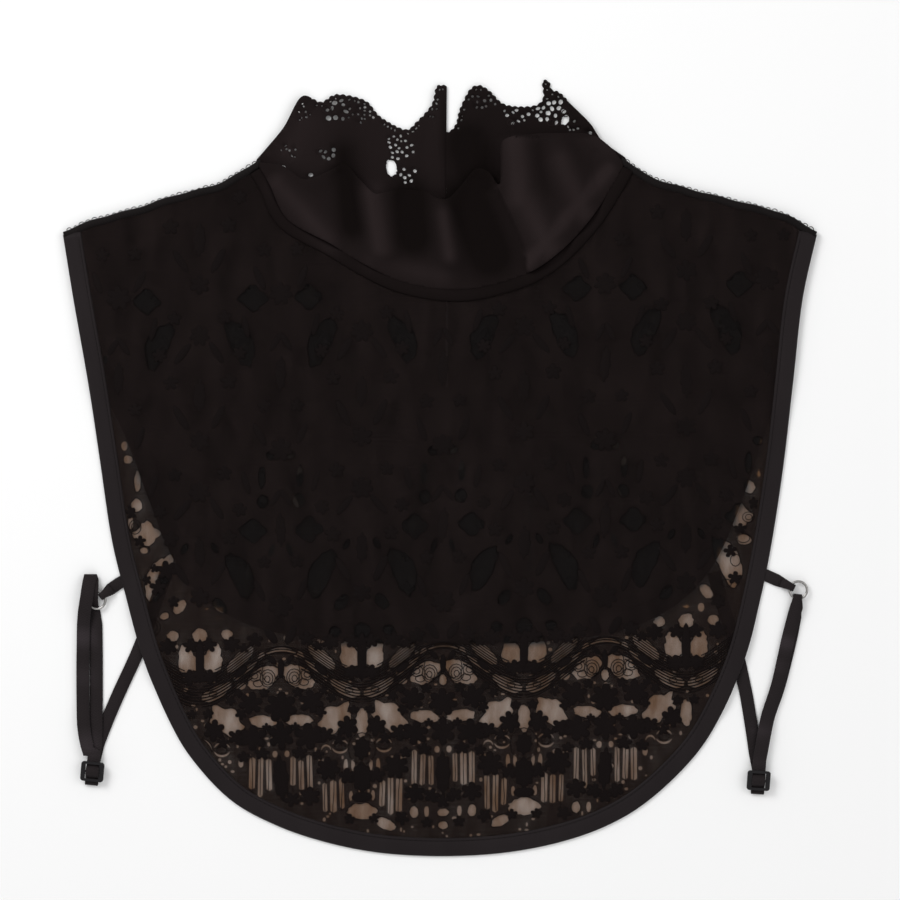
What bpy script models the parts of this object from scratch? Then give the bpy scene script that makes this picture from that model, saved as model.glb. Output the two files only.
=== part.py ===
# Detachable lace collar with bib, laid flat with its front up.
# Metres and +Z up in the scene. Tables and functions work in millimetres, +Y towards the collar.

import math

import bmesh
import bpy
import numpy as np
from mathutils import Vector
from mathutils.geometry import delaunay_2d_cdt

MM = 0.001

# Spacing of the points along the seams
SHOULDER_STEP = 13.0
NECK_STEP = 9.0
FRONT_STEP = 13.0
BACK_STEP = 14.0

# Spacing of the points inside the cloth, and their distance from its edges
PANEL_GRID = 24.0
PANEL_GRID_MARGIN = 4.0
CONTOUR_MARGIN = 2.0
CONTOUR_REACH = 6.0
COLLAR_GRID = 7.0
COLLAR_BACK_GRID = 9.0
COLLAR_GRID_MARGIN = 2.5

# Cloth and trim
GAP = 0.3
LACE = 1.4
COLLAR_WALL = 1.2
BINDING_WIDTH = 9.0
BINDING_THICK = 1.6
SHOULDER_SEAM_WIDTH = 4.0
SHOULDER_SEAM_HEIGHT = 3.6
NECK_SEAM_WIDTH = 6.0
NECK_SEAM_HEIGHT = 2.4
NECK_SEAM_END = 5.8
BINDING_END = 5.2
ELASTIC_WIDTH = 6.5
ELASTIC_THICK = 0.9
WIRE = 0.65
RING_RADIUS = 4.35
SLIDER_WIDTH = 11.5
SLIDER_LENGTH = 9.9
SLIDER_BAR_SPACING = 4.3

# The front lies on the back and on its binding, and comes down to the table beside them.
FRONT_LIFT = BINDING_THICK + GAP
FALL_START = 2.0
FALL_WIDTH = 9.0
TAIL_LIFT = ELASTIC_THICK + 0.5
TAIL_REACH = ELASTIC_WIDTH / 2 + 6.0

# Sides of the front: height on the bib, reach to the left, reach to the right.
FRONT_SIDES = (
    (118.5, 188.5, 188.5),
    (84.5, 183.0, 181.0),
    (44.5, 176.0, 176.5),
    (4.5, 170.0, 172.0),
    (-35.5, 164.0, 166.0),
    (-65.5, 156.5, 160.0),
    (-95.5, 148.0, 152.0),
    (-125.5, 135.5, 139.0),
    (-145.5, 123.5, 125.5),
    (-165.5, 104.5, 104.5),
    (-178.0, 82.0, 84.0),
    (-186.5, 57.0, 60.0),
    (-191.8, 30.0, 32.0),
)
FRONT_LOWEST = (1.0, -193.5)

# Sides of the back, which narrows sooner and is shorter.
BACK_SIDES = (
    (118.5, 186.5, 186.5),
    (84.5, 181.0, 179.0),
    (54.5, 174.0, 174.0),
    (34.5, 166.0, 168.0),
    (14.5, 156.5, 161.0),
    (-15.5, 145.5, 151.0),
    (-45.5, 133.0, 138.0),
    (-65.5, 117.0, 121.0),
    (-79.0, 92.0, 96.0),
    (-85.5, 55.0, 60.0),
)
BACK_LOWEST = (0.0, -88.0)

# Shoulder lines, from the outer corner to the neck: x, y.
LEFT_SHOULDER = (
    (-188.5, 118.5),
    (-172.0, 125.0),
    (-151.5, 130.5),
    (-133.5, 136.5),
    (-110.0, 143.0),
    (-92.0, 153.5),
)
RIGHT_SHOULDER = (
    (188.5, 118.5),
    (172.0, 127.5),
    (150.5, 133.5),
    (126.5, 139.5),
    (105.5, 146.0),
    (93.0, 154.5),
)

# Front neck seam and back neck seam, from the wearer's right to left: x, y.
FRONT_NECK = (
    (93.0, 154.5),
    (87.0, 143.0),
    (75.0, 124.5),
    (60.0, 108.5),
    (43.5, 97.5),
    (20.0, 90.5),
    (2.5, 89.5),
    (-19.0, 93.5),
    (-37.5, 102.0),
    (-54.0, 112.0),
    (-76.0, 124.5),
    (-85.0, 142.0),
    (-92.0, 153.5),
)
BACK_NECK = ((93.0, 154.5), (60.0, 140.0), (4.0, 132.0), (-60.0, 138.0), (-92.0, 153.5))

# The back opening: half width at the neck, its length down the back and its place.
BACK_SLIT_HALF = 0.6
BACK_SLIT_LENGTH = 90.0
BACK_SLIT_X = 3.4
BACK_SLIT_TOP = 126.0

# Where the two back ends of the collar meet at the neck.
COLLAR_LEFT_END = (3.0, 133.0)
COLLAR_RIGHT_END = (3.6, 133.0)
COLLAR_END_CLEAR = 2.0

# Top edge of the folded front of the collar, from the wearer's right to left: x, y.
COLLAR_FRONT_TOP = (
    (88.2, 156.0),
    (84.0, 161.5),
    (75.0, 167.0),
    (60.0, 167.6),
    (45.0, 167.0),
    (31.2, 163.5),
    (30.2, 152.0),
    (29.6, 141.5),
    (24.0, 148.5),
    (17.5, 149.5),
    (10.5, 141.0),
    (4.0, 131.5),
    (-2.5, 132.5),
    (-7.5, 138.0),
    (-20.0, 139.5),
    (-27.5, 138.0),
    (-33.0, 137.5),
    (-41.0, 145.5),
    (-47.5, 152.0),
    (-56.0, 148.5),
    (-67.5, 144.5),
    (-78.0, 151.0),
    (-87.5, 153.0),
)

# Outlines of the two back ends of the collar: x, y.
COLLAR_BACK_LEFT_TOP = (
    (3.0, 191.5),
    (-1.5, 191.0),
    (-4.0, 182.0),
    (-11.5, 173.5),
    (-17.5, 169.5),
    (-30.0, 176.0),
    (-37.5, 184.0),
    (-51.5, 187.0),
    (-59.5, 183.2),
    (-69.0, 186.0),
    (-78.5, 170.0),
    (-91.5, 154.8),
)
COLLAR_BACK_RIGHT_TOP = (
    (92.5, 155.8),
    (81.0, 164.0),
    (75.0, 172.5),
    (66.0, 181.5),
    (60.0, 187.8),
    (55.6, 189.6),
    (54.4, 193.5),
    (51.4, 193.5),
    (51.6, 185.0),
    (46.0, 181.2),
    (32.5, 182.0),
    (25.0, 188.5),
    (20.0, 191.5),
    (15.0, 189.5),
    (10.0, 179.5),
    (8.0, 168.5),
    (3.6, 162.0),
)

# Soft folds: start x, y, end x, y, height, half width.
COLLAR_FRONT_FOLDS = (
    (-73.0, 140.0, -55.0, 119.0, 4.2, 8.0),
    (-40.0, 149.0, -36.0, 111.0, 6.0, 9.0),
    (3.5, 130.0, 6.0, 110.0, 5.6, 5.5),
    (34.0, 162.0, 51.0, 110.0, 6.4, 9.5),
    (69.0, 161.0, 72.0, 130.0, 4.8, 8.5),
)
COLLAR_BACK_FOLDS = (
    (-86.0, 166.0, -71.0, 184.0, 3.0, 7.0),
    (-50.0, 182.0, -58.0, 150.0, 1.6, 9.0),
    (-1.5, 188.0, -1.5, 142.0, 1.8, 4.0),
    (20.0, 186.0, 16.0, 150.0, 1.6, 7.0),
    (70.0, 181.0, 86.0, 166.0, 3.0, 7.0),
)
COLLAR_FRONT_REST = COLLAR_WALL + 1.1
COLLAR_RIM_RISE = 1.6
COLLAR_RIM_WIDTH = 12.0
COLLAR_CORNER_X = 94.0
COLLAR_CORNER_FALL = 10.0

# Gaps of the collar's lace, in the columns x, y, width, height, turn.
COLLAR_LEFT_GAPS = (
    (-52.5, 176.0, 7.0, 10.5, 8.0),
    (-54.0, 158.0, 6.0, 6.0, 0.0),
    (-20.5, 150.5, 10.0, 7.5, -20.0),
    (-13.5, 160.0, 5.0, 5.0, 0.0),
    (-40.0, 171.0, 5.0, 6.0, 20.0),
    (-72.0, 161.0, 6.5, 4.5, 10.0),
)
COLLAR_RIGHT_GAPS = (
    (49.0, 176.0, 6.0, 5.0, 20.0),
    (56.0, 180.0, 7.0, 6.0, -20.0),
    (63.0, 175.0, 5.0, 7.5, -30.0),
    (75.5, 161.5, 5.0, 6.5, -30.0),
    (30.0, 174.0, 5.0, 5.0, 0.0),
)

# Lace repeat: mirrored about the crest axes, 81 mm apart, with a slight slant over the bib.
CREST_X = 1.5
REPEAT = 81.0
HALF_REPEAT = REPEAT / 2
SLANT = 0.03
EDGE_MARGIN = 1.6
WEB = 1.3

# Gaps of the border: across from the crest, height on the bib, width, height, turn, lobes, bump, corners.
BORDER_GAPS = (
    (9.5, -97.0, 13.0, 6.0, -12.0, 0, 0.0, 8),
    (0.0, -107.0, 5.0, 5.0, 0.0, 0, 0.0, 6),
    (14.0, -108.0, 5.5, 5.0, 0.0, 0, 0.0, 6),
    (10.0, -123.0, 12.0, 5.5, 8.0, 0, 0.0, 8),
    (26.5, -121.5, 18.5, 11.5, 38.0, 5, 0.14, 10),
    (40.5, -125.5, 5.2, 11.0, 0.0, 0, 0.0, 6),
    (29.5, -93.0, 15.0, 13.5, 30.0, 3, 0.20, 9),
    (40.5, -79.5, 8.0, 8.0, 0.0, 0, 0.0, 6),
    (27.0, -79.5, 6.0, 5.5, 0.0, 0, 0.0, 6),
    (31.0, -137.5, 7.0, 4.5, 20.0, 0, 0.0, 6),
    (40.5, -170.0, 16.0, 9.0, 0.0, 0, 0.0, 8),
    (28.5, -176.6, 10.5, 5.4, 24.0, 0, 0.0, 8),
    (0.0, -178.0, 5.0, 5.0, 0.0, 0, 0.0, 6),
    (14.5, -171.0, 5.0, 6.5, 0.0, 0, 0.0, 6),
)
# Slots between the threads of the border: across, height on the bib, length.
THREAD_SLOTS = (
    (6.0, -149.5, 19.0),
    (10.2, -150.0, 20.0),
    (14.4, -150.5, 19.0),
    (22.0, -161.5, 17.0),
    (26.2, -162.5, 18.0),
    (30.4, -161.0, 16.0),
)
SLOT_WIDTH = 2.4

# Gaps of the field above the border, in the same columns.
FIELD_GAPS = (
    (20.0, -50.0, 25.0, 11.5, 66.0, 0, 0.0, 8),
    (30.5, -65.0, 9.0, 5.5, 50.0, 0, 0.0, 6),
    (14.0, -28.0, 12.5, 11.5, 0.0, 4, 0.12, 8),
    (9.0, -13.5, 6.0, 7.0, 0.0, 0, 0.0, 6),
    (9.5, -1.5, 3.6, 11.0, 0.0, 0, 0.0, 6),
    (4.8, 9.5, 5.0, 4.5, 0.0, 0, 0.0, 6),
)
UPPER_FIELD_RISE = 116.0
UPPER_FIELD_ROWS = (0, 2)
BACK_FIELD_SHIFT = (22.0, 34.0)

# Side straps. Tab: route x, y from the binding to the ring. Tail: route from the slider to the back.
# Under leg: route from the slider to the ring. Over leg: route from the ring to the slider.
STRAPS = {
    "left": {
        "ring": (-171.5, -65.5),
        "tab": ((-160.6, -57.2), (-164.8, -60.2)),
        "slider": (-173.5, -151.0),
        "aim": (-0.10, -1.0),
        "tail": (
            (-170.8, -137.0),
            (-166.5, -126.0),
            (-160.5, -112.0),
            (-150.5, -90.0),
            (-142.5, -68.0),
            (-135.8, -48.5),
        ),
        "under_leg": ((-172.0, -137.0), (-171.8, -122.0), (-171.8, -98.0), (-172.0, -78.0)),
        "over_leg": ((-178.2, -82.0), (-178.4, -105.0), (-177.9, -128.0), (-175.6, -141.0)),
    },
    "right": {
        "ring": (179.0, -60.5),
        "tab": ((163.8, -53.5), (168.5, -55.6)),
        "slider": (159.0, -155.5),
        "aim": (-0.06, -1.0),
        "tail": (
            (157.8, -143.0),
            (155.3, -126.0),
            (152.5, -110.0),
            (147.5, -88.0),
            (140.8, -66.0),
            (136.8, -51.5),
        ),
        "under_leg": ((160.2, -143.0), (163.8, -125.0), (169.5, -108.0), (175.0, -86.0), (177.4, -74.0)),
        "over_leg": ((176.6, -74.0), (173.6, -86.0), (168.6, -108.0), (163.2, -125.0), (159.9, -143.0)),
    },
}

# Levels of the elastic's middle: on the table, and where it lies on another layer of itself.
ELASTIC_LEVEL = ELASTIC_THICK / 2
LAYER = ELASTIC_THICK + GAP
BAR_REACH = ELASTIC_THICK / 2 + GAP + WIRE
RING_LEVEL = ELASTIC_LEVEL + BAR_REACH
RING_PINCH = 4.4
TAB_WIDTH = 6.0
TAB_PINCH = 3.6
LEG_RAISED = 24.0
LEG_FALL = 12.0
ELASTIC_STEP = 12.0
TAIL_STEP = 10.0
SEWN_END = (1.5, -4.0, -9.0)
TAIL_START = (2.0, -5.0)
SLIDER_TURN = 6.0
SLIDER_CORNER = 1.4

# The elastic's way through the slider: distance along it past the middle bar, level.
SLIDER_WAY = (
    (-9.0, 2.85),
    (-3.8, 2.85),
    (-2.6, 3.35),
    (-1.7, 4.45),
    (-0.8, 5.1),
    (0.0, 5.2),
    (0.9, 5.0),
    (2.1, 3.3),
    (3.1, 1.95),
    (4.3, 1.65),
    (5.6, 1.65),
)
SLIDER_LEVEL = 3.0
SLIDER_TILT = 0.14
SLIDER_THICK = 2 * WIRE

# The left elastic threads its ring and folds over above it: across and up from the ring, level, width.
LEFT_FOLD = (-3.0, 12.0)
LEFT_FOLD_LEVEL = 1.65
LEFT_RING_WAY = (
    (-0.8, -5.4, 0.45, 5.0),
    (-1.2, -2.8, 0.50, 4.0),
    (-1.2, -1.2, 1.20, 3.8),
    (-1.2, 0.0, 1.85, 3.8),
    (-1.2, 1.2, 2.55, 3.8),
    (-1.3, 2.8, 3.25, 4.0),
    (-1.5, 5.4, 3.25, 5.2),
    (-2.2, 9.5, 1.90, 6.5),
)
LEFT_RING_RETURN = (
    (-3.7, 9.0, 3.30, 6.5),
    (-4.3, 4.6, 4.55, 6.5),
    (-5.0, 0.0, 4.55, 6.5),
    (-6.0, -6.0, 3.60, 6.5),
    (-6.6, -12.0, 1.85, 6.5),
)

# Colours, roughness and metal of the sub-parts.
LACE_COLOUR = (0.012, 0.010, 0.009)
BINDING_COLOUR = (0.030, 0.025, 0.026)
ELASTIC_COLOUR = (0.050, 0.042, 0.040)
METAL_COLOUR = (0.55, 0.54, 0.52)


def clear_scene():
    for thing in list(bpy.data.objects):
        bpy.data.objects.remove(thing, do_unlink=True)


def finish_of(name, colour, roughness, metallic):
    """The material of one sub-part."""
    material = bpy.data.materials.new(name)
    material.use_nodes = True
    shader = material.node_tree.nodes["Principled BSDF"]
    shader.inputs["Base Color"].default_value = (*colour, 1.0)
    shader.inputs["Roughness"].default_value = roughness
    shader.inputs["Metallic"].default_value = metallic
    return material


def add_solid(name, bm, finish):
    """Turns a bmesh in millimetres into a named object in metres."""
    bmesh.ops.scale(bm, vec=(MM, MM, MM), verts=bm.verts)
    mesh = bpy.data.meshes.new(name)
    bm.to_mesh(mesh)
    bm.free()
    solid = bpy.data.objects.new(name, mesh)
    bpy.context.collection.objects.link(solid)
    mesh.materials.append(finish_of(name, *finish))
    return solid


def curve_through(points, step):
    """A smooth curve through the points, with a point about every step."""
    ends = [2 * np.array(points[0]) - np.array(points[1]), 2 * np.array(points[-1]) - np.array(points[-2])]
    knots = [ends[0], *(np.array(point, float) for point in points), ends[1]]
    path = []
    for a, b, c, d in zip(knots, knots[1:], knots[2:], knots[3:]):
        parts = max(1, round(float(np.linalg.norm(c - b)) / step))
        for part in range(parts):
            t = part / parts
            square = (2 * a - 5 * b + 4 * c - d) * t**2
            cube = (3 * b - a - 3 * c + d) * t**3
            path.append(0.5 * (2 * b + (c - a) * t + square + cube))
    path.append(knots[-2])
    return path


def side_path(rows, lowest, step):
    """Down the left side, round the bottom and up the right side."""
    left = [(-left, y) for y, left, _ in rows]
    right = [(right, y) for y, _, right in reversed(rows)]
    return curve_through([*left, lowest, *right], step)


def left_normals(path):
    """Unit vectors to the left of an open path, at each of its points."""
    path = np.array(path)
    along = np.gradient(path, axis=0)
    along /= np.linalg.norm(along, axis=1)[:, None]
    return np.stack([-along[:, 1], along[:, 0]], axis=1)


def moved_left(path, distance):
    return list(np.array(path) + left_normals(path) * distance)


def trimmed(path, cut):
    """An open path without a short length at each end."""
    path = np.array(path)
    reach = np.concatenate([[0.0], np.cumsum(np.linalg.norm(np.diff(path, axis=0), axis=1))])
    low, high = cut, reach[-1] - cut
    first, last = (np.array([np.interp(end, reach, path[:, k]) for k in (0, 1)]) for end in (low, high))
    return [first, *path[(reach > low + 1.0) & (reach < high - 1.0)], last]


def inset_loop(points, distances):
    """A closed loop moved in, by its own distance behind each point."""
    points = np.array(points)
    count = len(points)
    result = []
    for i in range(count):
        before = points[i] - points[i - 1]
        after = points[(i + 1) % count] - points[i]
        before /= np.linalg.norm(before)
        after /= np.linalg.norm(after)
        first, second = distances[i - 1], distances[i]
        turn = before[0] * after[1] - before[1] * after[0]
        if abs(turn) < 0.05:
            normal = np.array([-after[1], after[0]])
            result.append(points[i] + normal * (first + second) / 2)
            continue
        base = np.array([-before[1], before[0]]) * first
        other = np.array([-after[1], after[0]]) * second
        along = ((other - base)[0] * after[1] - (other - base)[1] * after[0]) / turn
        result.append(points[i] + base + before * along)
    return result


def crossings(places, loops):
    """Whether each place lies inside an odd number of the loops."""
    places = np.array(places)
    inside = np.zeros(len(places), bool)
    for loop in loops:
        a = np.array(loop)
        b = np.roll(a, -1, axis=0)
        y = places[:, 1][:, None]
        spans = (a[:, 1] > y) != (b[:, 1] > y)
        rise = np.where(b[:, 1] == a[:, 1], 1.0, b[:, 1] - a[:, 1])
        cut = a[:, 0] + (y - a[:, 1]) * (b[:, 0] - a[:, 0]) / rise
        inside ^= (spans & (places[:, 0][:, None] < cut)).sum(axis=1) % 2 == 1
    return inside


def distance_to(places, path, closed=False):
    """The distance of each place to a path."""
    places = np.array(places, float)
    a = np.array(path, float)
    b = np.roll(a, -1, axis=0)
    if not closed:
        a, b = a[:-1], b[:-1]
    along = b - a
    size = (along**2).sum(axis=1)
    share = ((places[:, None, :] - a) * along).sum(axis=2) / np.where(size == 0, 1.0, size)
    nearest = a + np.clip(share, 0, 1)[:, :, None] * along
    return np.linalg.norm(places[:, None, :] - nearest, axis=2).min(axis=1)


def soft_fall(distance, start, width):
    """1 up to the start, then down softly to 0 over the width."""
    share = np.clip((distance - start) / width, 0, 1)
    return (1 + np.cos(np.pi * share)) / 2


def fold_height(places, folds):
    """How far the folds lift the cloth at each place."""
    height = np.zeros(len(places))
    for x0, y0, x1, y1, top, half_width in folds:
        away = distance_to(places, ((x0, y0), (x1, y1)))
        height = np.maximum(height, top * np.exp(-((away / half_width) ** 2) * 1.4))
    return height


FRONT_PATH = side_path(FRONT_SIDES, FRONT_LOWEST, FRONT_STEP)
BACK_PATH = side_path(BACK_SIDES, BACK_LOWEST, BACK_STEP)
ABOVE_ALL = 400.0
BACK_FOOTPRINT = [(BACK_PATH[0][0], ABOVE_ALL), *BACK_PATH, (BACK_PATH[-1][0], ABOVE_ALL)]


def front_under(places):
    """Height of the underside of the front, which lies on the back, on the tails and on the table."""
    places = np.array(places)
    beyond = distance_to(places, BACK_PATH)
    beyond = np.where(crossings(places, [BACK_FOOTPRINT]), 0.0, beyond)
    height = FRONT_LIFT * soft_fall(beyond, FALL_START, FALL_WIDTH)
    for strap in STRAPS.values():
        away = distance_to(places, strap["tail"])
        height = np.maximum(height, TAIL_LIFT * soft_fall(away, TAIL_REACH, FALL_WIDTH))
    return height


def on_table(places):
    return np.zeros(len(places))


def gap_loop(x, y, width, height, turn, lobes, bump, corners):
    """Outline of one gap: an oval, or a rounded star where it has lobes."""
    cosine, sine = math.cos(math.radians(turn)), math.sin(math.radians(turn))
    loop = []
    for corner in range(corners):
        angle = math.tau * (corner + 0.5) / corners
        reach = 1 + bump * math.cos(lobes * (angle - math.pi / 2))
        a = width / 2 * reach * math.cos(angle)
        b = height / 2 * reach * math.sin(angle)
        loop.append((x + a * cosine - b * sine, y + a * sine + b * cosine))
    return loop


def repeated(rows, rise=0.0, shift=0.0):
    """Gap loops of the rows, mirrored about each crest and repeated across the bib."""
    loops = []
    for across, y, width, height, turn, lobes, bump, corners in rows:
        on_axis = across in (0.0, HALF_REPEAT)
        for crest in range(-3, 4):
            for side in (1, -1):
                if on_axis and side < 0:
                    continue
                x = CREST_X + shift + REPEAT * crest + side * across
                here = y + rise + SLANT * (x - CREST_X)
                loops.append(gap_loop(x, here, width, height, side * turn, lobes, bump, corners))
    return loops


def slot_loops(rows):
    """Narrow upright slots between the border's threads."""
    loops = []
    for across, y, length in rows:
        for crest in range(-3, 4):
            for side in (1, -1):
                x = CREST_X + REPEAT * crest + side * across
                here = y + SLANT * (x - CREST_X)
                half, end = SLOT_WIDTH / 2, length / 2
                corners = ((-half, -end), (half, -end), (half, end), (-half, end))
                loops.append([(x + a, here + b) for a, b in corners])
    return loops


def gaps_within(outline, wanted):
    """The gaps that keep a margin of cloth to the outline and a web to each other."""
    kept = []
    for loop in wanted:
        if not crossings(loop, [outline]).all():
            continue
        if distance_to(loop, outline, closed=True).min() < EDGE_MARGIN:
            continue
        middle = np.mean(loop, axis=0)
        reach = np.linalg.norm(np.array(loop) - middle, axis=1).max()
        clear = True
        for other, other_middle, other_reach in kept:
            if np.linalg.norm(middle - other_middle) > reach + other_reach + WEB:
                continue
            if distance_to(loop, other, closed=True).min() < WEB or crossings(loop, [other]).any():
                clear = False
                break
        if clear:
            kept.append((loop, middle, reach))
    return [loop for loop, _, _ in kept]


def grid_within(outline, loops, spacing, margin):
    """Points of a staggered grid that lie on the cloth."""
    low = np.min(outline, axis=0)
    high = np.max(outline, axis=0)
    places = []
    for row, y in enumerate(np.arange(low[1] + spacing / 2, high[1], spacing * 0.87)):
        for x in np.arange(low[0] + spacing * (0.25 + 0.5 * (row % 2)), high[0], spacing):
            places.append((x, y))
    return clear_of(places, outline, loops, margin)


def clear_of(places, outline, loops, margin):
    """The places on the cloth that keep a margin to its edges."""
    places = np.array(places)
    inside = crossings(places, [outline, *loops])
    for loop in (outline, *loops):
        inside &= distance_to(places, loop, closed=True) > margin
    return list(places[inside])


def cloth_solid(name, outline, gaps, extra, under, thickness, finish):
    """A wall of cloth over its outline, with gaps cut through, lying at the height of its underside."""
    loops = [outline, *gaps]
    places = [tuple(point) for loop in loops for point in loop] + list(extra)
    edges = []
    first = 0
    for loop in loops:
        count = len(loop)
        edges += [(first + i, first + (i + 1) % count) for i in range(count)]
        first += count
    points, _, triangles, _, _, _ = delaunay_2d_cdt([Vector(place) for place in places], edges, [], 0, 1e-5)
    points = [tuple(point) for point in points]
    middles = [np.mean([points[i] for i in triangle], axis=0) for triangle in triangles]
    kept = [tri for tri, keep in zip(triangles, crossings(middles, loops)) if keep]
    heights = under(points)
    bm = bmesh.new()
    bottom = [bm.verts.new((x, y, z)) for (x, y), z in zip(points, heights)]
    top = [bm.verts.new((x, y, z + thickness)) for (x, y), z in zip(points, heights)]
    uses = {}
    for a, b, c in kept:
        bm.faces.new((top[a], top[b], top[c]))
        bm.faces.new((bottom[c], bottom[b], bottom[a]))
        for start, end in ((a, b), (b, c), (c, a)):
            uses[(start, end)] = True
    for start, end in uses:
        if (end, start) not in uses:
            bm.faces.new((bottom[start], bottom[end], top[end], top[start]))
    loose = [vertex for vertex in bm.verts if not vertex.link_faces]
    bmesh.ops.delete(bm, geom=loose, context="VERTS")
    return add_solid(name, bm, finish)


ROUNDED_BAND = ((-0.5, 0.0), (0.5, 0.0), (0.5, 0.5), (0.34, 1.0), (-0.34, 1.0), (-0.5, 0.5))


def loft(name, rings, finish):
    """A closed body through rings of points that run alike, with its two ends filled."""
    bm = bmesh.new()
    made = [[bm.verts.new(point) for point in ring] for ring in rings]
    count = len(rings[0])
    for one, two in zip(made, made[1:]):
        for i in range(count):
            j = (i + 1) % count
            bm.faces.new((one[i], one[j], two[j], two[i]))
    bm.faces.new(made[0][::-1])
    bm.faces.new(made[-1])
    bmesh.ops.recalc_face_normals(bm, faces=bm.faces)
    return add_solid(name, bm, finish)


def band_solid(name, path, width, height, under, finish):
    """A rounded band along a path, lying at the height of its underside."""
    path = np.array(path)
    normals = left_normals(path)
    rings = []
    for point, normal in zip(path, normals):
        places = [point + normal * across * width for across, _ in ROUNDED_BAND]
        levels = under(places)
        rings.append(
            [(x, y, level + up * height) for (x, y), level, (_, up) in zip(places, levels, ROUNDED_BAND)]
        )
    return loft(name, rings, finish)


def ribbon_solid(name, stations, finish):
    """A flat elastic along its stations: x, y, z and width. Its width stays level where it folds."""
    stations = np.array(stations)
    centre = stations[:, :3]
    along = np.gradient(centre, axis=0)
    along /= np.linalg.norm(along, axis=1)[:, None]
    rings = []
    side = None
    for point, direction, width in zip(centre, along, stations[:, 3]):
        level = np.array([direction[0], direction[1]])
        if np.linalg.norm(level) > 0.3:
            turned = np.array([-level[1], level[0], 0.0]) / np.linalg.norm(level)
            if side is not None and turned @ side < 0:
                turned = -turned
            side = turned
        up = np.cross(side, direction)
        up *= ELASTIC_THICK / 2 / np.linalg.norm(up)
        half = side * width / 2
        rings.append([tuple(point + corner) for corner in (half + up, up - half, -half - up, half - up)])
    return loft(name, rings, finish)


def bib_loop(path, neck, neck_inset):
    """The outline of a panel's cloth, inside its binding and its seams."""
    right = curve_through(RIGHT_SHOULDER, SHOULDER_STEP)
    neck = curve_through(neck, NECK_STEP)
    left = curve_through(LEFT_SHOULDER[::-1], SHOULDER_STEP)
    stretches = (
        (path[:-1], BINDING_WIDTH + GAP),
        ([path[-1], *right[1:-1]], SHOULDER_SEAM_WIDTH + GAP),
        (neck[:-1], neck_inset),
        (left[:-1], SHOULDER_SEAM_WIDTH + GAP),
    )
    points = [point for stretch, _ in stretches for point in stretch]
    distances = [distance for stretch, distance in stretches for _ in stretch]
    return inset_loop(points, distances)


def make_front():
    outline = bib_loop(FRONT_PATH, FRONT_NECK, NECK_SEAM_WIDTH + 2 * GAP)
    wanted = repeated(FIELD_GAPS) + repeated(BORDER_GAPS)
    wanted += repeated([FIELD_GAPS[row] for row in UPPER_FIELD_ROWS], rise=UPPER_FIELD_RISE)
    wanted += slot_loops(THREAD_SLOTS)
    gaps = gaps_within(outline, wanted)
    contours = []
    for share, every in ((0.0, 1), (0.5, 2), (1.0, 2)):
        contours += moved_left(BACK_PATH, -FALL_START - FALL_WIDTH * share)[::every]
    for strap in STRAPS.values():
        tail = curve_through(strap["tail"], TAIL_STEP)
        for reach in (0.0, TAIL_REACH, TAIL_REACH + FALL_WIDTH):
            contours += moved_left(tail, reach)
            contours += moved_left(tail, -reach) if reach else []
    extra = clear_of(contours, outline, gaps, CONTOUR_MARGIN)
    grid = grid_within(outline, gaps, PANEL_GRID, PANEL_GRID_MARGIN)
    far = [place for place in grid if distance_to([place], extra).min() > CONTOUR_REACH]
    cloth_solid("front_panel", outline, gaps, extra + far, front_under, LACE, (LACE_COLOUR, 0.85, 0.0))


def make_back():
    outline = bib_loop(BACK_PATH, BACK_NECK, GAP)
    # The opening runs down from the neck edge, at the point nearest to it.
    away = np.linalg.norm(np.array(outline) - (BACK_SLIT_X, BACK_SLIT_TOP), axis=1)
    top = int(away.argmin())
    neck_y = outline[top][1]
    slit = [
        (BACK_SLIT_X + BACK_SLIT_HALF, neck_y),
        (BACK_SLIT_X + BACK_SLIT_HALF, neck_y - BACK_SLIT_LENGTH),
        (BACK_SLIT_X - BACK_SLIT_HALF, neck_y - BACK_SLIT_LENGTH),
        (BACK_SLIT_X - BACK_SLIT_HALF, neck_y),
    ]
    outline = [*outline[:top], *slit, *outline[top + 1 :]]
    wanted = repeated([FIELD_GAPS[row] for row in UPPER_FIELD_ROWS], BACK_FIELD_SHIFT[1], BACK_FIELD_SHIFT[0])
    gaps = gaps_within(outline, wanted)
    cloth_solid("back_panel", outline, gaps, [], on_table, LACE, (LACE_COLOUR, 0.85, 0.0))


def make_bindings():
    finish = (BINDING_COLOUR, 0.55, 0.0)
    rows = (("binding_front", FRONT_PATH, front_under), ("binding_back", BACK_PATH, on_table))
    for name, path, under in rows:
        middle = trimmed(moved_left(path, BINDING_WIDTH / 2), BINDING_END)
        band_solid(name, middle, BINDING_WIDTH, BINDING_THICK, under, finish)


def make_seams():
    finish = (LACE_COLOUR, 0.7, 0.0)
    for name, line in (("shoulder_seam_left", LEFT_SHOULDER[::-1]), ("shoulder_seam_right", RIGHT_SHOULDER)):
        path = curve_through(line, SHOULDER_STEP)
        path = moved_left(path, SHOULDER_SEAM_WIDTH / 2)
        band_solid(name, path, SHOULDER_SEAM_WIDTH, SHOULDER_SEAM_HEIGHT, on_table, finish)
    path = moved_left(curve_through(FRONT_NECK, NECK_STEP), GAP + NECK_SEAM_WIDTH / 2)
    band_solid(
        "neck_seam", trimmed(path, NECK_SEAM_END), NECK_SEAM_WIDTH, NECK_SEAM_HEIGHT, front_under, finish
    )


def collar_front_under(places):
    """The folded front of the collar rises in soft folds and stands a little at its top edge."""
    places = np.array(places)
    rim = soft_fall(distance_to(places, COLLAR_FRONT_TOP), 0.0, COLLAR_RIM_WIDTH)
    ends = soft_fall(COLLAR_CORNER_X - np.abs(places[:, 0]), 0.0, COLLAR_CORNER_FALL)
    lift = np.maximum(fold_height(places, COLLAR_FRONT_FOLDS), COLLAR_RIM_RISE * rim)
    return COLLAR_FRONT_REST + lift * (1 - ends)


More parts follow.
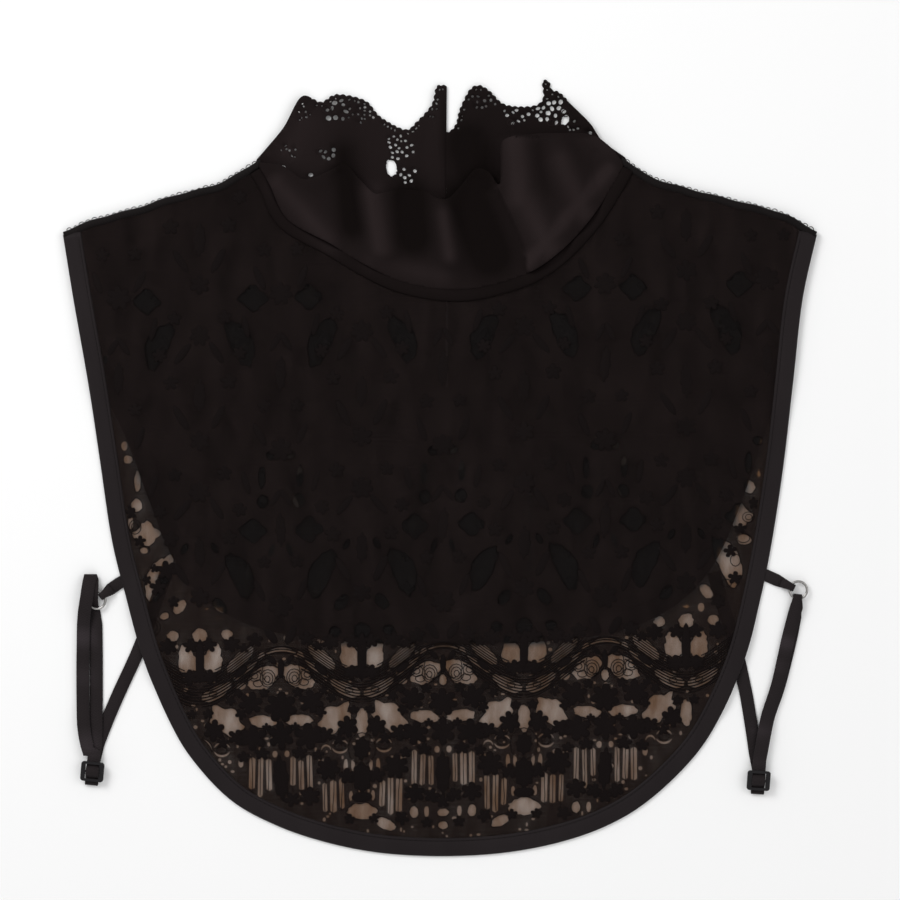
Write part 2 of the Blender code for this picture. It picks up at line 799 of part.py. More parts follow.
def collar_back_under(places):
    return fold_height(places, COLLAR_BACK_FOLDS)


def make_collar():
    finish = (LACE_COLOUR, 0.7, 0.0)
    seam = curve_through(FRONT_NECK, NECK_STEP)[-2:0:-1]
    outline = [*map(tuple, seam), *COLLAR_FRONT_TOP]
    extra = grid_within(outline, [], COLLAR_GRID, COLLAR_GRID_MARGIN)
    cloth_solid("collar_front", outline, [], extra, collar_front_under, COLLAR_WALL, finish)
    neck = curve_through(BACK_NECK, NECK_STEP)
    left_neck = [tuple(p) for p in neck if p[0] < COLLAR_LEFT_END[0] - COLLAR_END_CLEAR][::-1]
    right_neck = [tuple(p) for p in neck if p[0] > COLLAR_RIGHT_END[0] + COLLAR_END_CLEAR][::-1]
    left = [*left_neck, COLLAR_LEFT_END, *COLLAR_BACK_LEFT_TOP]
    right = [COLLAR_RIGHT_END, *right_neck, *COLLAR_BACK_RIGHT_TOP]
    halves = (
        ("collar_back_left", left, COLLAR_LEFT_GAPS),
        ("collar_back_right", right, COLLAR_RIGHT_GAPS),
    )
    for name, outline, rows in halves:
        gaps = gaps_within(outline, [gap_loop(*row, lobes=0, bump=0.0, corners=8) for row in rows])
        extra = grid_within(outline, gaps, COLLAR_BACK_GRID, COLLAR_GRID_MARGIN)
        cloth_solid(name, outline, gaps, extra, collar_back_under, COLLAR_WALL, finish)


def turned_over(centre, direction, low, high, width, parts=6):
    """Stations of an elastic that folds over from one level to another, beyond the centre."""
    radius = (high - low) / 2
    stations = []
    for part in range(parts + 1):
        angle = math.pi * part / parts
        reach = abs(radius) * math.sin(angle)
        level = (low + high) / 2 - radius * math.cos(angle)
        stations.append((centre[0] + direction[0] * reach, centre[1] + direction[1] * reach, level, width))
    return stations


def unit(vector):
    return np.array(vector, float) / np.linalg.norm(vector)


def leg_stations(route, slider, rise):
    """Stations along a leg, raised near the slider where it lies on the tail."""
    stations = []
    for x, y in curve_through(route, ELASTIC_STEP):
        away = np.linalg.norm(np.array((x, y)) - np.array(slider))
        level = ELASTIC_LEVEL + rise + LAYER * float(soft_fall(away, LEG_RAISED, LEG_FALL))
        stations.append((x, y, level, ELASTIC_WIDTH))
    return stations


def ring_turn(strap, route_end, pinch):
    """Where the elastic folds round the ring's wire: the fold's centre and its direction."""
    ring = np.array(strap["ring"])
    direction = unit(ring - np.array(route_end))
    wire = ring - direction * RING_RADIUS
    hollow = RING_RADIUS - math.sqrt(RING_RADIUS**2 - (pinch / 2) ** 2)
    return wire + direction * hollow, direction


def make_tab(side, strap):
    """The short loop that holds the ring at the front's binding."""
    centre, direction = ring_turn(strap, strap["tab"][-1], TAB_PINCH)
    top = ELASTIC_LEVEL + 2 * BAR_REACH
    stations = [(x, y, ELASTIC_LEVEL, TAB_WIDTH) for x, y in strap["tab"]]
    stations += turned_over(centre, direction, ELASTIC_LEVEL, top, TAB_PINCH)
    back = centre - direction * 3.2
    end = centre - direction * 5.4
    stations += [(*back, ELASTIC_LEVEL + LAYER + 0.5, 4.6), (*end, ELASTIC_LEVEL + LAYER, 5.2)]
    ribbon_solid(f"strap_tab_{side}", stations, (ELASTIC_COLOUR, 0.8, 0.0))


def make_elastic(side, strap):
    """One elastic: sewn end at the slider, up to the ring, back through the slider and off to the back."""
    slider = np.array(strap["slider"])
    aim = unit(strap["aim"])
    stations = [(*(slider + aim * s), ELASTIC_LEVEL + LAYER, ELASTIC_WIDTH) for s in SEWN_END]
    stations += leg_stations(strap["under_leg"], slider, 0.0)
    if side == "left":
        ring = strap["ring"]
        stations += [(ring[0] + x, ring[1] + y, z, width) for x, y, z, width in LEFT_RING_WAY]
        fold = (ring[0] + LEFT_FOLD[0], ring[1] + LEFT_FOLD[1])
        stations += turned_over(fold, (0.0, 1.0), LEFT_FOLD_LEVEL, LEFT_FOLD_LEVEL + LAYER, ELASTIC_WIDTH)
        stations += [(ring[0] + x, ring[1] + y, z, width) for x, y, z, width in LEFT_RING_RETURN]
    else:
        centre, direction = ring_turn(strap, strap["under_leg"][-1], RING_PINCH)
        top = ELASTIC_LEVEL + 2 * BAR_REACH
        stations += turned_over(centre, direction, ELASTIC_LEVEL, top, RING_PINCH)
        stations.append((*(centre - direction * 4.6), ELASTIC_LEVEL + LAYER + 0.7, ELASTIC_WIDTH))
    stations += leg_stations(strap["over_leg"], slider, LAYER)
    stations += [(*(slider + aim * s), level, ELASTIC_WIDTH) for s, level in SLIDER_WAY]
    low, high = SLIDER_WAY[-1][1], ELASTIC_LEVEL
    stations += turned_over(slider + aim * SLIDER_TURN, aim, low, high, ELASTIC_WIDTH)
    stations += [(*(slider + aim * s), ELASTIC_LEVEL, ELASTIC_WIDTH) for s in TAIL_START]
    stations += [(x, y, ELASTIC_LEVEL, ELASTIC_WIDTH) for x, y in curve_through(strap["tail"], ELASTIC_STEP)]
    ribbon_solid(f"strap_elastic_{side}", stations, (ELASTIC_COLOUR, 0.8, 0.0))


def make_slider(side, strap):
    """A flat slider with three bars, tilted a little by the elastic that runs through it."""
    aim = unit(strap["aim"])
    across = np.array([-aim[1], aim[0]])
    middle = np.array(strap["slider"])

    def placed(rows):
        return [tuple(middle + across * x + aim * s) for x, s in rows]

    half, end, cut = SLIDER_WIDTH / 2, SLIDER_LENGTH / 2, SLIDER_CORNER
    corners = ((-half, -end + cut), (-half + cut, -end), (half - cut, -end), (half, -end + cut))
    outline = placed([*corners, *((-x, -s) for x, s in corners)])
    slot_half = half - 2 * WIRE
    near, far = WIRE, SLIDER_BAR_SPACING - WIRE
    slots = []
    for sign in (-1, 1):
        rows = [(-slot_half, near), (slot_half, near), (slot_half, far), (-slot_half, far)]
        slots.append(placed([(x, sign * s) for x, s in rows]))

    def under(places):
        return SLIDER_LEVEL - SLIDER_TILT * ((np.array(places) - middle) @ aim)

    finish = (METAL_COLOUR, 0.3, 1.0)
    cloth_solid(f"strap_slider_{side}", outline, slots, [], under, SLIDER_THICK, finish)


def make_ring(side, strap):
    """The strap's ring, lying level in the loops of the elastic."""
    bm = bmesh.new()
    section = [
        bm.verts.new((RING_RADIUS + WIRE * math.cos(a), 0.0, WIRE * math.sin(a)))
        for a in (math.tau * k / 6 for k in range(6))
    ]
    edges = [bm.edges.new((section[k], section[(k + 1) % 6])) for k in range(6)]
    bmesh.ops.spin(
        bm, geom=[*section, *edges], cent=(0, 0, 0), axis=(0, 0, 1), angle=math.tau, steps=20, use_merge=True
    )
    bmesh.ops.recalc_face_normals(bm, faces=bm.faces)
    bmesh.ops.translate(bm, vec=(*strap["ring"], RING_LEVEL), verts=bm.verts)
    return add_solid(f"strap_ring_{side}", bm, (METAL_COLOUR, 0.25, 1.0))


def main():
    clear_scene()
    make_front()
    make_back()
    make_bindings()
    make_seams()
    make_collar()
    for side, strap in STRAPS.items():
        make_tab(side, strap)
        make_elastic(side, strap)
        make_slider(side, strap)
        make_ring(side, strap)


main()
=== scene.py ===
# %% [markdown]
# # A detachable lace collar with a bib, laid flat
#
# The collar is a stand-up neck of doubled black lace on a sleeveless front and back of border lace.
# It is worn under a jumper, so only its collar shows. The edges are bound with satin, and each side
# is held by an elastic with a ring and a slider. It lies on a white table with its front up.
#
# The imported model is the frame that everything is fitted to.

# %% Load the imported frame
import math

import bmesh
import bpy
import numpy as np
from mathutils import Matrix, Vector


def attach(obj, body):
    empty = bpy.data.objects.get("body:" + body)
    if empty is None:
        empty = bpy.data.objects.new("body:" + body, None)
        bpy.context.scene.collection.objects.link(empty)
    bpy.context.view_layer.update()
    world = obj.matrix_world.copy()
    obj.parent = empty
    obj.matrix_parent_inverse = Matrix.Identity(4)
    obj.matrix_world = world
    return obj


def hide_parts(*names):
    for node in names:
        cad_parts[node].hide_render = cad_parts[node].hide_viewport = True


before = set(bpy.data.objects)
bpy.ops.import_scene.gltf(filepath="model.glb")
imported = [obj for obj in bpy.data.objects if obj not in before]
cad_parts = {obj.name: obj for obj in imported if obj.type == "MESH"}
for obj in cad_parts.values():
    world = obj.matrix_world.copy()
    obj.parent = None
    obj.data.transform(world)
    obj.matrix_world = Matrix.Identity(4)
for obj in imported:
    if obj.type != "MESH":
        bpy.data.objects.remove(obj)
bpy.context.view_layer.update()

MM = 0.001
print("frame nodes", len(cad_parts))

# %% [markdown]
# ## Camera, table and light
#
# The collar is looked at from straight above, from far enough away that the folds don't lean. The
# table is a plain white sheet. A large soft light stands at the upper left, a weaker one at the
# right and a low one in front. The world fills the shadows, so the black cloth shows its folds.

# %% Camera
CAMERA_MIDDLE = (5.0, 9.5)
CAMERA_HEIGHT = 1.9
VIEW_WIDTH = 0.45
FILM = 36.0
CAMERA_REACH = 20.0

camera = bpy.data.objects.new("camera", bpy.data.cameras.new("camera"))
bpy.context.scene.collection.objects.link(camera)
camera.location = (CAMERA_MIDDLE[0] * MM, CAMERA_MIDDLE[1] * MM, CAMERA_HEIGHT)
camera.data.sensor_width = FILM
camera.data.lens = FILM * CAMERA_HEIGHT / VIEW_WIDTH
camera.data.clip_end = CAMERA_REACH
bpy.context.scene.camera = camera
print("lens", round(camera.data.lens, 1), "mm")

# %% Table and light
TABLE_DROP = 0.15
TABLE_HALF = 2.5
TABLE_WHITE = (0.92, 0.92, 0.92)
CLOTH_SPECULAR = 0.06
WORLD_STRENGTH = 0.60
# Name, place, size and power of each light.
LIGHTS = (
    ("key", (-0.9, 0.9, 1.1), 0.8, 14.0),
    ("fill", (1.2, 0.3, 1.3), 1.2, 5.0),
    ("low", (0.2, -1.4, 1.0), 1.0, 3.0),
)


def plain_finish(name, colour, roughness):
    """A Principled material with one colour, and its shader node."""
    finish = bpy.data.materials.new(name)
    finish.use_nodes = True
    shader = finish.node_tree.nodes["Principled BSDF"]
    shader.inputs["Base Color"].default_value = (*colour, 1.0)
    shader.inputs["Roughness"].default_value = roughness
    shader.inputs["Specular IOR Level"].default_value = CLOTH_SPECULAR
    return finish, shader


bm = bmesh.new()
bmesh.ops.create_grid(bm, x_segments=1, y_segments=1, size=TABLE_HALF)
bmesh.ops.translate(bm, vec=(0, 0, -TABLE_DROP * MM), verts=bm.verts)
table_mesh = bpy.data.meshes.new("table")
bm.to_mesh(table_mesh)
bm.free()
table = bpy.data.objects.new("table", table_mesh)
bpy.context.scene.collection.objects.link(table)
table_mesh.materials.append(plain_finish("white_table", TABLE_WHITE, 0.7)[0])

for name, place, size, power in LIGHTS:
    lamp = bpy.data.objects.new(name, bpy.data.lights.new(name, "AREA"))
    lamp.data.size = size
    lamp.data.energy = power
    lamp.location = place
    lamp.rotation_euler = (-Vector(place)).to_track_quat("-Z", "Y").to_euler()
    bpy.context.scene.collection.objects.link(lamp)

world = bpy.data.worlds.new("studio")
world.use_nodes = True
background = world.node_tree.nodes["Background"]
background.inputs["Color"].default_value = (1.0, 1.0, 1.0, 1.0)
background.inputs["Strength"].default_value = WORLD_STRENGTH
bpy.context.scene.world = world
bpy.context.scene.view_settings.view_transform = "Standard"
print("lights", len(LIGHTS))

# %% [markdown]
# ## Lines of the cut
#
# A maker draws the cut from a few points on each side and a smooth line through them. The same
# helpers draw every line here: the sides, the shoulders, the neck and the straps. All tables are in
# millimetres, with +Y towards the collar.

# %% Helpers for lines
def curve_through(points, step):
    """A smooth curve through the points, with a point about every step."""
    inner = [np.array(point, float) for point in points]
    knots = [2 * inner[0] - inner[1], *inner, 2 * inner[-1] - inner[-2]]
    path = []
    for a, b, c, d in zip(knots, knots[1:], knots[2:], knots[3:]):
        parts = max(1, round(float(np.linalg.norm(c - b)) / step))
        for part in range(parts):
            t = part / parts
            square = (2 * a - 5 * b + 4 * c - d) * t**2
            cube = (3 * b - a - 3 * c + d) * t**3
            path.append(0.5 * (2 * b + (c - a) * t + square + cube))
    path.append(knots[-2])
    return path


def left_normals(path):
    """Unit vectors to the left of an open path, at each of its points."""
    along = np.gradient(np.array(path), axis=0)
    along /= np.linalg.norm(along, axis=1)[:, None]
    return np.stack([-along[:, 1], along[:, 0]], axis=1)


def moved_left(path, distance):
    return list(np.array(path) + left_normals(path) * distance)


def length_along(path):
    """The distance along the path to each of its points."""
    steps = np.linalg.norm(np.diff(np.array(path), axis=0), axis=1)
    return np.concatenate([[0.0], np.cumsum(steps)])


def trimmed(path, cut):
    """An open path without a short length at each end."""
    path = np.array(path)
    reach = length_along(path)
    low, high = cut, reach[-1] - cut
    ends = [np.array([np.interp(end, reach, path[:, k]) for k in (0, 1)]) for end in (low, high)]
    return [ends[0], *path[(reach > low + 0.5) & (reach < high - 0.5)], ends[1]]


def evenly(path, step):
    """The path with its points an even step apart."""
    path = np.array(path)
    reach = length_along(path)
    places = np.linspace(0.0, reach[-1], max(2, round(reach[-1] / step) + 1))
    return np.stack([np.interp(places, reach, path[:, k]) for k in (0, 1)], axis=1)


# %% Helpers for places
RIDGE_SLOPE = 1.4


def inside(places, loops):
    """Whether each place lies inside an odd number of the loops."""
    places = np.array(places)
    result = np.zeros(len(places), bool)
    for loop in loops:
        a = np.array(loop)
        b = np.roll(a, -1, axis=0)
        y = places[:, 1][:, None]
        spans = (a[:, 1] > y) != (b[:, 1] > y)
        rise = np.where(b[:, 1] == a[:, 1], 1.0, b[:, 1] - a[:, 1])
        cut = a[:, 0] + (y - a[:, 1]) * (b[:, 0] - a[:, 0]) / rise
        result ^= (spans & (places[:, 0][:, None] < cut)).sum(axis=1) % 2 == 1
    return result


def distance_to(places, path, closed=False):
    """The distance of each place to a path."""
    places = np.array(places, float)
    a = np.array(path, float)
    b = np.roll(a, -1, axis=0)
    if not closed:
        a, b = a[:-1], b[:-1]
    along = b - a
    size = (along**2).sum(axis=1)
    share = ((places[:, None, :] - a) * along).sum(axis=2) / np.where(size == 0, 1.0, size)
    nearest = a + np.clip(share, 0, 1)[:, :, None] * along
    return np.linalg.norm(places[:, None, :] - nearest, axis=2).min(axis=1)


def soft_fall(distance, start, width):
    """1 up to the start, then down softly to 0 over the width."""
    share = np.clip((distance - start) / width, 0, 1)
    return (1 + np.cos(np.pi * share)) / 2


def ridge_height(places, ridges):
    """The height of soft ridges: start x, y, end x, y, height, half width."""
    height = np.zeros(len(places))
    for x0, y0, x1, y1, top, half_width in ridges:
        away = distance_to(places, ((x0, y0), (x1, y1)))
        height = np.maximum(height, top * np.exp(-((away / half_width) ** 2) * RIDGE_SLOPE))
    return height


# %% The cut of the front and the back
# Height on the bib, reach to the left, reach to the right.
FRONT_SIDES = (
    (118.5, 188.5, 188.5), (84.5, 183, 181), (44.5, 176, 176.5), (4.5, 170, 172),
    (-35.5, 164, 166), (-65.5, 156.5, 160), (-95.5, 148, 152), (-125.5, 135.5, 139),
    (-145.5, 123.5, 125.5), (-165.5, 104.5, 104.5), (-178, 82, 84), (-186.5, 57, 60),
    (-191.8, 30, 32),
)
BACK_SIDES = (
    (118.5, 186.5, 186.5), (84.5, 181, 179), (54.5, 174, 174), (34.5, 166, 168),
    (14.5, 156.5, 161), (-15.5, 145.5, 151), (-45.5, 133, 138), (-65.5, 117, 121), (-79, 92, 96),
    (-85.5, 55, 60),
)
FRONT_LOWEST = (1.0, -193.5)
BACK_LOWEST = (0.0, -88.0)
LEFT_SHOULDER = (
    (-188.5, 118.5), (-172, 125), (-151.5, 130.5), (-133.5, 136.5), (-110, 143), (-92, 153.5),
)
RIGHT_SHOULDER = (
    (188.5, 118.5), (172, 127.5), (150.5, 133.5), (126.5, 139.5), (105.5, 146), (93, 154.5),
)
FRONT_NECK = (
    (93, 154.5), (87, 143), (75, 124.5), (60, 108.5), (43.5, 97.5), (20, 90.5), (2.5, 89.5),
    (-19, 93.5), (-37.5, 102), (-54, 112), (-76, 124.5), (-85, 142), (-92, 153.5),
)
BACK_NECK = ((93.0, 154.5), (60.0, 140.0), (4.0, 132.0), (-60.0, 138.0), (-92.0, 153.5))
SIDE_STEP = 3.0


def side_path(rows, lowest):
    """Down the left side, round the bottom and up the right side."""
    left = [(-left, y) for y, left, _ in rows]
    right = [(right, y) for y, _, right in reversed(rows)]
    return curve_through([*left, lowest, *right], SIDE_STEP)


FRONT_PATH = side_path(FRONT_SIDES, FRONT_LOWEST)
BACK_PATH = side_path(BACK_SIDES, BACK_LOWEST)
for name, path in (("front", FRONT_PATH), ("back", BACK_PATH)):
    print(name, "edge", round(length_along(path)[-1]), "mm")

# %% [markdown]
# ## How high the cloth lies
#
# The back lies on the table. The front lies on the back and comes down to the table beside it, and
# it lies over the tails of the side elastics. A few soft upright ripples are listed, since
# lace that has been folded away never lies quite flat.

# %% Height of the front
BINDING_WIDTH = 9.0
BINDING_THICK = 1.6
ELASTIC_WIDTH = 6.5
ELASTIC_THICK = 0.9
FRONT_LIFT = BINDING_THICK + 0.3
FALL_START = 2.0
FALL_WIDTH = 9.0
TAIL_LIFT = ELASTIC_THICK + 0.5
TAIL_REACH = ELASTIC_WIDTH / 2 + 6.0
FAR = 400.0
BACK_FOOTPRINT = [(BACK_PATH[0][0], FAR), *BACK_PATH, (BACK_PATH[-1][0], FAR)]
LEFT_TAIL = (
    (-170.8, -137), (-166.5, -126), (-160.5, -112), (-150.5, -90), (-142.5, -68), (-135.8, -48.5),
)
RIGHT_TAIL = (
    (157.8, -143), (155.3, -126), (152.5, -110), (147.5, -88), (140.8, -66), (136.8, -51.5),
)
# Ripples of the lace: start x, y, end x, y, height, half width.
RIPPLES = (
    (-133, 84, -128, 30, 0.45, 5), (-112, 72, -109, -20, 0.50, 4), (-88, 96, -90, 18, 0.40, 5),
    (-71, 60, -74, -52, 0.55, 3.6), (-52, 84, -50, 6, 0.40, 4.2), (-33, 40, -36, -60, 0.50, 3.4),
    (-14, 78, -12, -8, 0.45, 4.6), (8, 52, 6, -58, 0.55, 3.4), (27, 78, 30, 2, 0.40, 4.6),
    (47, 66, 45, -50, 0.55, 3.6), (64, 90, 68, 22, 0.45, 4), (83, 58, 80, -44, 0.55, 3.8),
    (101, 92, 104, 8, 0.45, 4.4), (118, 60, 114, -30, 0.50, 4), (138, 92, 136, 30, 0.40, 5),
)


def front_under(places):
    """Height of the underside of the front."""
    places = np.array(places, float)
    beyond = distance_to(places, BACK_PATH)
    beyond = np.where(inside(places, [BACK_FOOTPRINT]), 0.0, beyond)
    height = FRONT_LIFT * soft_fall(beyond, FALL_START, FALL_WIDTH)
    for tail in (LEFT_TAIL, RIGHT_TAIL):
        away = distance_to(places, tail)
        height = np.maximum(height, TAIL_LIFT * soft_fall(away, TAIL_REACH, FALL_WIDTH))
    return height


def on_front(lift):
    """The level of something that lies on the front, at a height over its underside."""
    return lambda places: front_under(places) + ridge_height(places, RIPPLES) + lift


def on_table(lift):
    return lambda places: np.full(len(places), float(lift))


print("the front lies", round(float(front_under([(0.0, 0.0)])[0]), 2), "mm up over the back")

# %% [markdown]
# ## Patterns that more than one cloth uses
#
# Three small shader groups hold what the cloths share. The mesh is a staggered net of threads. The
# dense stitches of the lace use it too, with thicker threads. A weave is two sets of threads over
# and under each other, and on a band it follows the band's own map. The cloudy tone is the slight
# wear and dust that keeps black cloth from being one flat black. Each group puts out masks and
# heights only, and the Principled shader stays in the material.

# %% Helpers for shader groups
def pattern_group(name, numbers, outputs):
    """An empty group with a vector input, number inputs and number outputs."""
    group = bpy.data.node_groups.new(name, "ShaderNodeTree")
    group.interface.new_socket("Vector", in_out="INPUT", socket_type="NodeSocketVector")
    for label, value in numbers:
        socket = group.interface.new_socket(label, in_out="INPUT", socket_type="NodeSocketFloat")
        socket.default_value = value
    for label in outputs:
        group.interface.new_socket(label, in_out="OUTPUT", socket_type="NodeSocketFloat")
    return group, group.nodes.new("NodeGroupInput"), group.nodes.new("NodeGroupOutput")


def add_node(tree, kind, **settings):
    """A node with its settings. A setting that names an input sets that input's value."""
    node = tree.nodes.new(kind)
    for label, value in settings.items():
        if hasattr(node, label):
            setattr(node, label, value)
        else:
            node.inputs[label.replace("_", " ").title()].default_value = value
    return node


def math_node(tree, operation, *values):
    """One sum. Its values are numbers or other nodes' outputs."""
    node = add_node(tree, "ShaderNodeMath", operation=operation)
    for socket, value in zip(node.inputs, values):
        if isinstance(value, (int, float)):
            socket.default_value = value
        else:
            tree.links.new(value, socket)
    return node.outputs[0]


# %% The net's mesh
GAP_MASK = (0.0, 0.0, 0.0, 1.0)
THREAD_MASK = (1.0, 1.0, 1.0, 1.0)


def make_net_pattern():
    """A staggered net: Scale is its cells per metre, Thread is the thread's share of a cell."""
    numbers = (("Scale", 900.0), ("Thread", 0.12))
    group, inputs, outputs = pattern_group("net_mesh", numbers, ("Mask",))
    mesh = add_node(
        group, "ShaderNodeTexBrick", offset=0.5, squash=1.0, color1=GAP_MASK, color2=GAP_MASK,
        mortar=THREAD_MASK, mortar_smooth=0.6, brick_width=1.0, row_height=0.8,
    )
    group.links.new(inputs.outputs["Vector"], mesh.inputs["Vector"])
    group.links.new(inputs.outputs["Scale"], mesh.inputs["Scale"])
    group.links.new(inputs.outputs["Thread"], mesh.inputs["Mortar Size"])
    group.links.new(mesh.outputs["Color"], outputs.inputs["Mask"])
    return group


NET_MESH = make_net_pattern()


# %% The weave
def make_weave_pattern():
    """Over and under threads. Warp and Weft are threads per metre along the map's two ways."""
    numbers = (("Warp", 2000.0), ("Weft", 2000.0))
    group, inputs, outputs = pattern_group("weave", numbers, ("Height",))
    parts = add_node(group, "ShaderNodeSeparateXYZ")
    group.links.new(inputs.outputs["Vector"], parts.inputs["Vector"])
    waves = []
    for axis, label in (("X", "Warp"), ("Y", "Weft")):
        turns = math_node(group, "MULTIPLY", parts.outputs[axis], inputs.outputs[label])
        angle = math_node(group, "MULTIPLY", turns, math.pi)
        waves.append(math_node(group, "SINE", angle))
    over = math_node(group, "MULTIPLY", waves[0], waves[1])
    half = math_node(group, "MULTIPLY", over, 0.5)
    group.links.new(math_node(group, "ADD", half, 0.5), outputs.inputs["Height"])
    return group


WEAVE = make_weave_pattern()


# %% The cloudy tone
CLOUD_STRETCH = (1.0, 0.35, 1.0)
FUZZ_FINER = 42.0


def make_cloud_pattern():
    """Soft patches drawn along the cloth and fine fuzz, both from 0 to 1."""
    group, inputs, outputs = pattern_group("cloudy_tone", (("Scale", 40.0),), ("Cloud", "Fuzz"))
    cloud = add_node(group, "ShaderNodeTexNoise", detail=3.0, roughness=0.6)
    drawn = add_node(group, "ShaderNodeVectorMath", operation="MULTIPLY")
    drawn.inputs[1].default_value = CLOUD_STRETCH
    group.links.new(inputs.outputs["Vector"], drawn.inputs[0])
    group.links.new(drawn.outputs["Vector"], cloud.inputs["Vector"])
    group.links.new(inputs.outputs["Scale"], cloud.inputs["Scale"])
    fuzz = add_node(group, "ShaderNodeTexNoise", detail=2.0, roughness=0.7)
    group.links.new(inputs.outputs["Vector"], fuzz.inputs["Vector"])
    fuzz_scale = math_node(group, "MULTIPLY", inputs.outputs["Scale"], FUZZ_FINER)
    group.links.new(fuzz_scale, fuzz.inputs["Scale"])
    group.links.new(cloud.outputs["Fac"], outputs.inputs["Cloud"])
    group.links.new(fuzz.outputs["Fac"], outputs.inputs["Fuzz"])
    return group


CLOUDY_TONE = make_cloud_pattern()
print("groups", [g.name for g in bpy.data.node_groups])

# %% [markdown]
# ## The finishes
#
# Each finish is a Principled shader whose colour, roughness and bump come from the groups above.
# The net and the lace's dense stitches also have an Alpha, because the table shows between their
# threads. The net is a pale brown where there is one layer of it, and it is painted almost black,
# as painted shade, where the front lies on the back and on the elastics' tails. Bands carry a map
# that runs along them, so their threads turn with them. Attributes of the pieces bring in painted
# shade and painted highlights on the collar's folds and painted highlights on the elastics. The
# rings are nickel and the sliders are lacquered black.

# %% Helpers for finishes
# A mix node's places of its share, its two colours and its result.
MIX_SHARE, MIX_A, MIX_B, MIX_OUT = 0, 6, 7, 2
BUMP_DISTANCE = 0.0002
FUZZ_SHARE = 0.6
NETTED_SCALE = 110.0


def add_tone(tree, scale):
    """The place on the piece, and the cloudy tone there."""
    place = tree.nodes.new("ShaderNodeTexCoord")
    tone = add_node(tree, "ShaderNodeGroup", node_tree=CLOUDY_TONE, scale=scale)
    tree.links.new(place.outputs["Object"], tone.inputs["Vector"])
    return place, tone


def rough_between(finish, value, low, high):
    """Lets the roughness follow a value that runs from 0 to 1."""
    tree = finish.node_tree
    rough = add_node(tree, "ShaderNodeMapRange", to_min=low, to_max=high)
    tree.links.new(value, rough.inputs["Value"])
    tree.links.new(rough.outputs["Result"], tree.nodes["Principled BSDF"].inputs["Roughness"])


def cloth_finish(name, colours, roughness, bump, coordinates, tone_scale=40.0):
    """A cloth with two tones: its material, the place on it, its tone group and its bump."""
    finish, shader = plain_finish(name, colours[0], roughness[0])
    tree = finish.node_tree
    place, tone = add_tone(tree, tone_scale)
    mix = add_node(tree, "ShaderNodeMix", data_type="RGBA")
    mix.inputs[MIX_A].default_value = (*colours[0], 1.0)
    mix.inputs[MIX_B].default_value = (*colours[1], 1.0)
    tree.links.new(tone.outputs["Cloud"], mix.inputs[MIX_SHARE])
    tree.links.new(mix.outputs[MIX_OUT], shader.inputs["Base Color"])
    rough_between(finish, tone.outputs["Fuzz"], *roughness)
    relief = add_node(tree, "ShaderNodeBump", strength=bump, distance=BUMP_DISTANCE)
    tree.links.new(relief.outputs["Normal"], shader.inputs["Normal"])
    return finish, place.outputs[coordinates], tone, relief


def second_colour(finish, attribute, colour):
    """Brings in another colour where the piece's attribute says so."""
    tree = finish.node_tree
    base = tree.nodes["Principled BSDF"].inputs["Base Color"]
    plain = base.links[0].from_socket
    share = add_node(tree, "ShaderNodeAttribute", attribute_name=attribute)
    mix = add_node(tree, "ShaderNodeMix", data_type="RGBA")
    mix.inputs[MIX_B].default_value = (*colour, 1.0)
    tree.links.new(share.outputs["Fac"], mix.inputs[MIX_SHARE])
    tree.links.new(plain, mix.inputs[MIX_A])
    tree.links.new(mix.outputs[MIX_OUT], base)


def woven_finish(name, colours, roughness, bump, threads, sheen=0.0, coordinates="UV"):
    """A woven cloth. threads are its warp and weft to the metre, on a band along its own map."""
    finish, where, tone, relief = cloth_finish(name, colours, roughness, bump, coordinates)
    tree = finish.node_tree
    warp, weft = threads
    weave = add_node(tree, "ShaderNodeGroup", node_tree=WEAVE, warp=warp, weft=weft)
    tree.links.new(where, weave.inputs["Vector"])
    fuzz = math_node(tree, "MULTIPLY", tone.outputs["Fuzz"], FUZZ_SHARE)
    height = math_node(tree, "ADD", weave.outputs["Height"], fuzz)
    tree.links.new(height, relief.inputs["Height"])
    tree.nodes["Principled BSDF"].inputs["Sheen Weight"].default_value = sheen
    return finish


def netted_finish(name, colours, roughness, bump, mesh, see_through):
    """Threads with gaps: mesh is the net's scale and thread, see_through is the gaps' Alpha."""
    finish, where, tone, relief = cloth_finish(
        name, colours, roughness, bump, "Object", NETTED_SCALE
    )
    tree = finish.node_tree
    scale, thread = mesh
    net = add_node(tree, "ShaderNodeGroup", node_tree=NET_MESH, scale=scale, thread=thread)
    tree.links.new(where, net.inputs["Vector"])
    tree.links.new(net.outputs["Mask"], relief.inputs["Height"])
    alpha = add_node(tree, "ShaderNodeMapRange", to_max=1.0)
    patchy = math_node(tree, "SUBTRACT", tone.outputs["Cloud"], 0.5)
    tree.links.new(math_node(tree, "ADD", patchy, see_through), alpha.inputs["To Min"])
    tree.links.new(net.outputs["Mask"], alpha.inputs["Value"])
    tree.links.new(alpha.outputs["Result"], tree.nodes["Principled BSDF"].inputs["Alpha"])
    return finish


def hard_finish(name, colour, roughness, specular, metallic, tone_scale):
    """A hard finish whose roughness changes a little from spot to spot."""
    finish, shader = plain_finish(name, colour, roughness[0])
    shader.inputs["Specular IOR Level"].default_value = specular
    shader.inputs["Metallic"].default_value = metallic
    tone = add_tone(finish.node_tree, tone_scale)[1]
    rough_between(finish, tone.outputs["Cloud"], *roughness)
    return finish


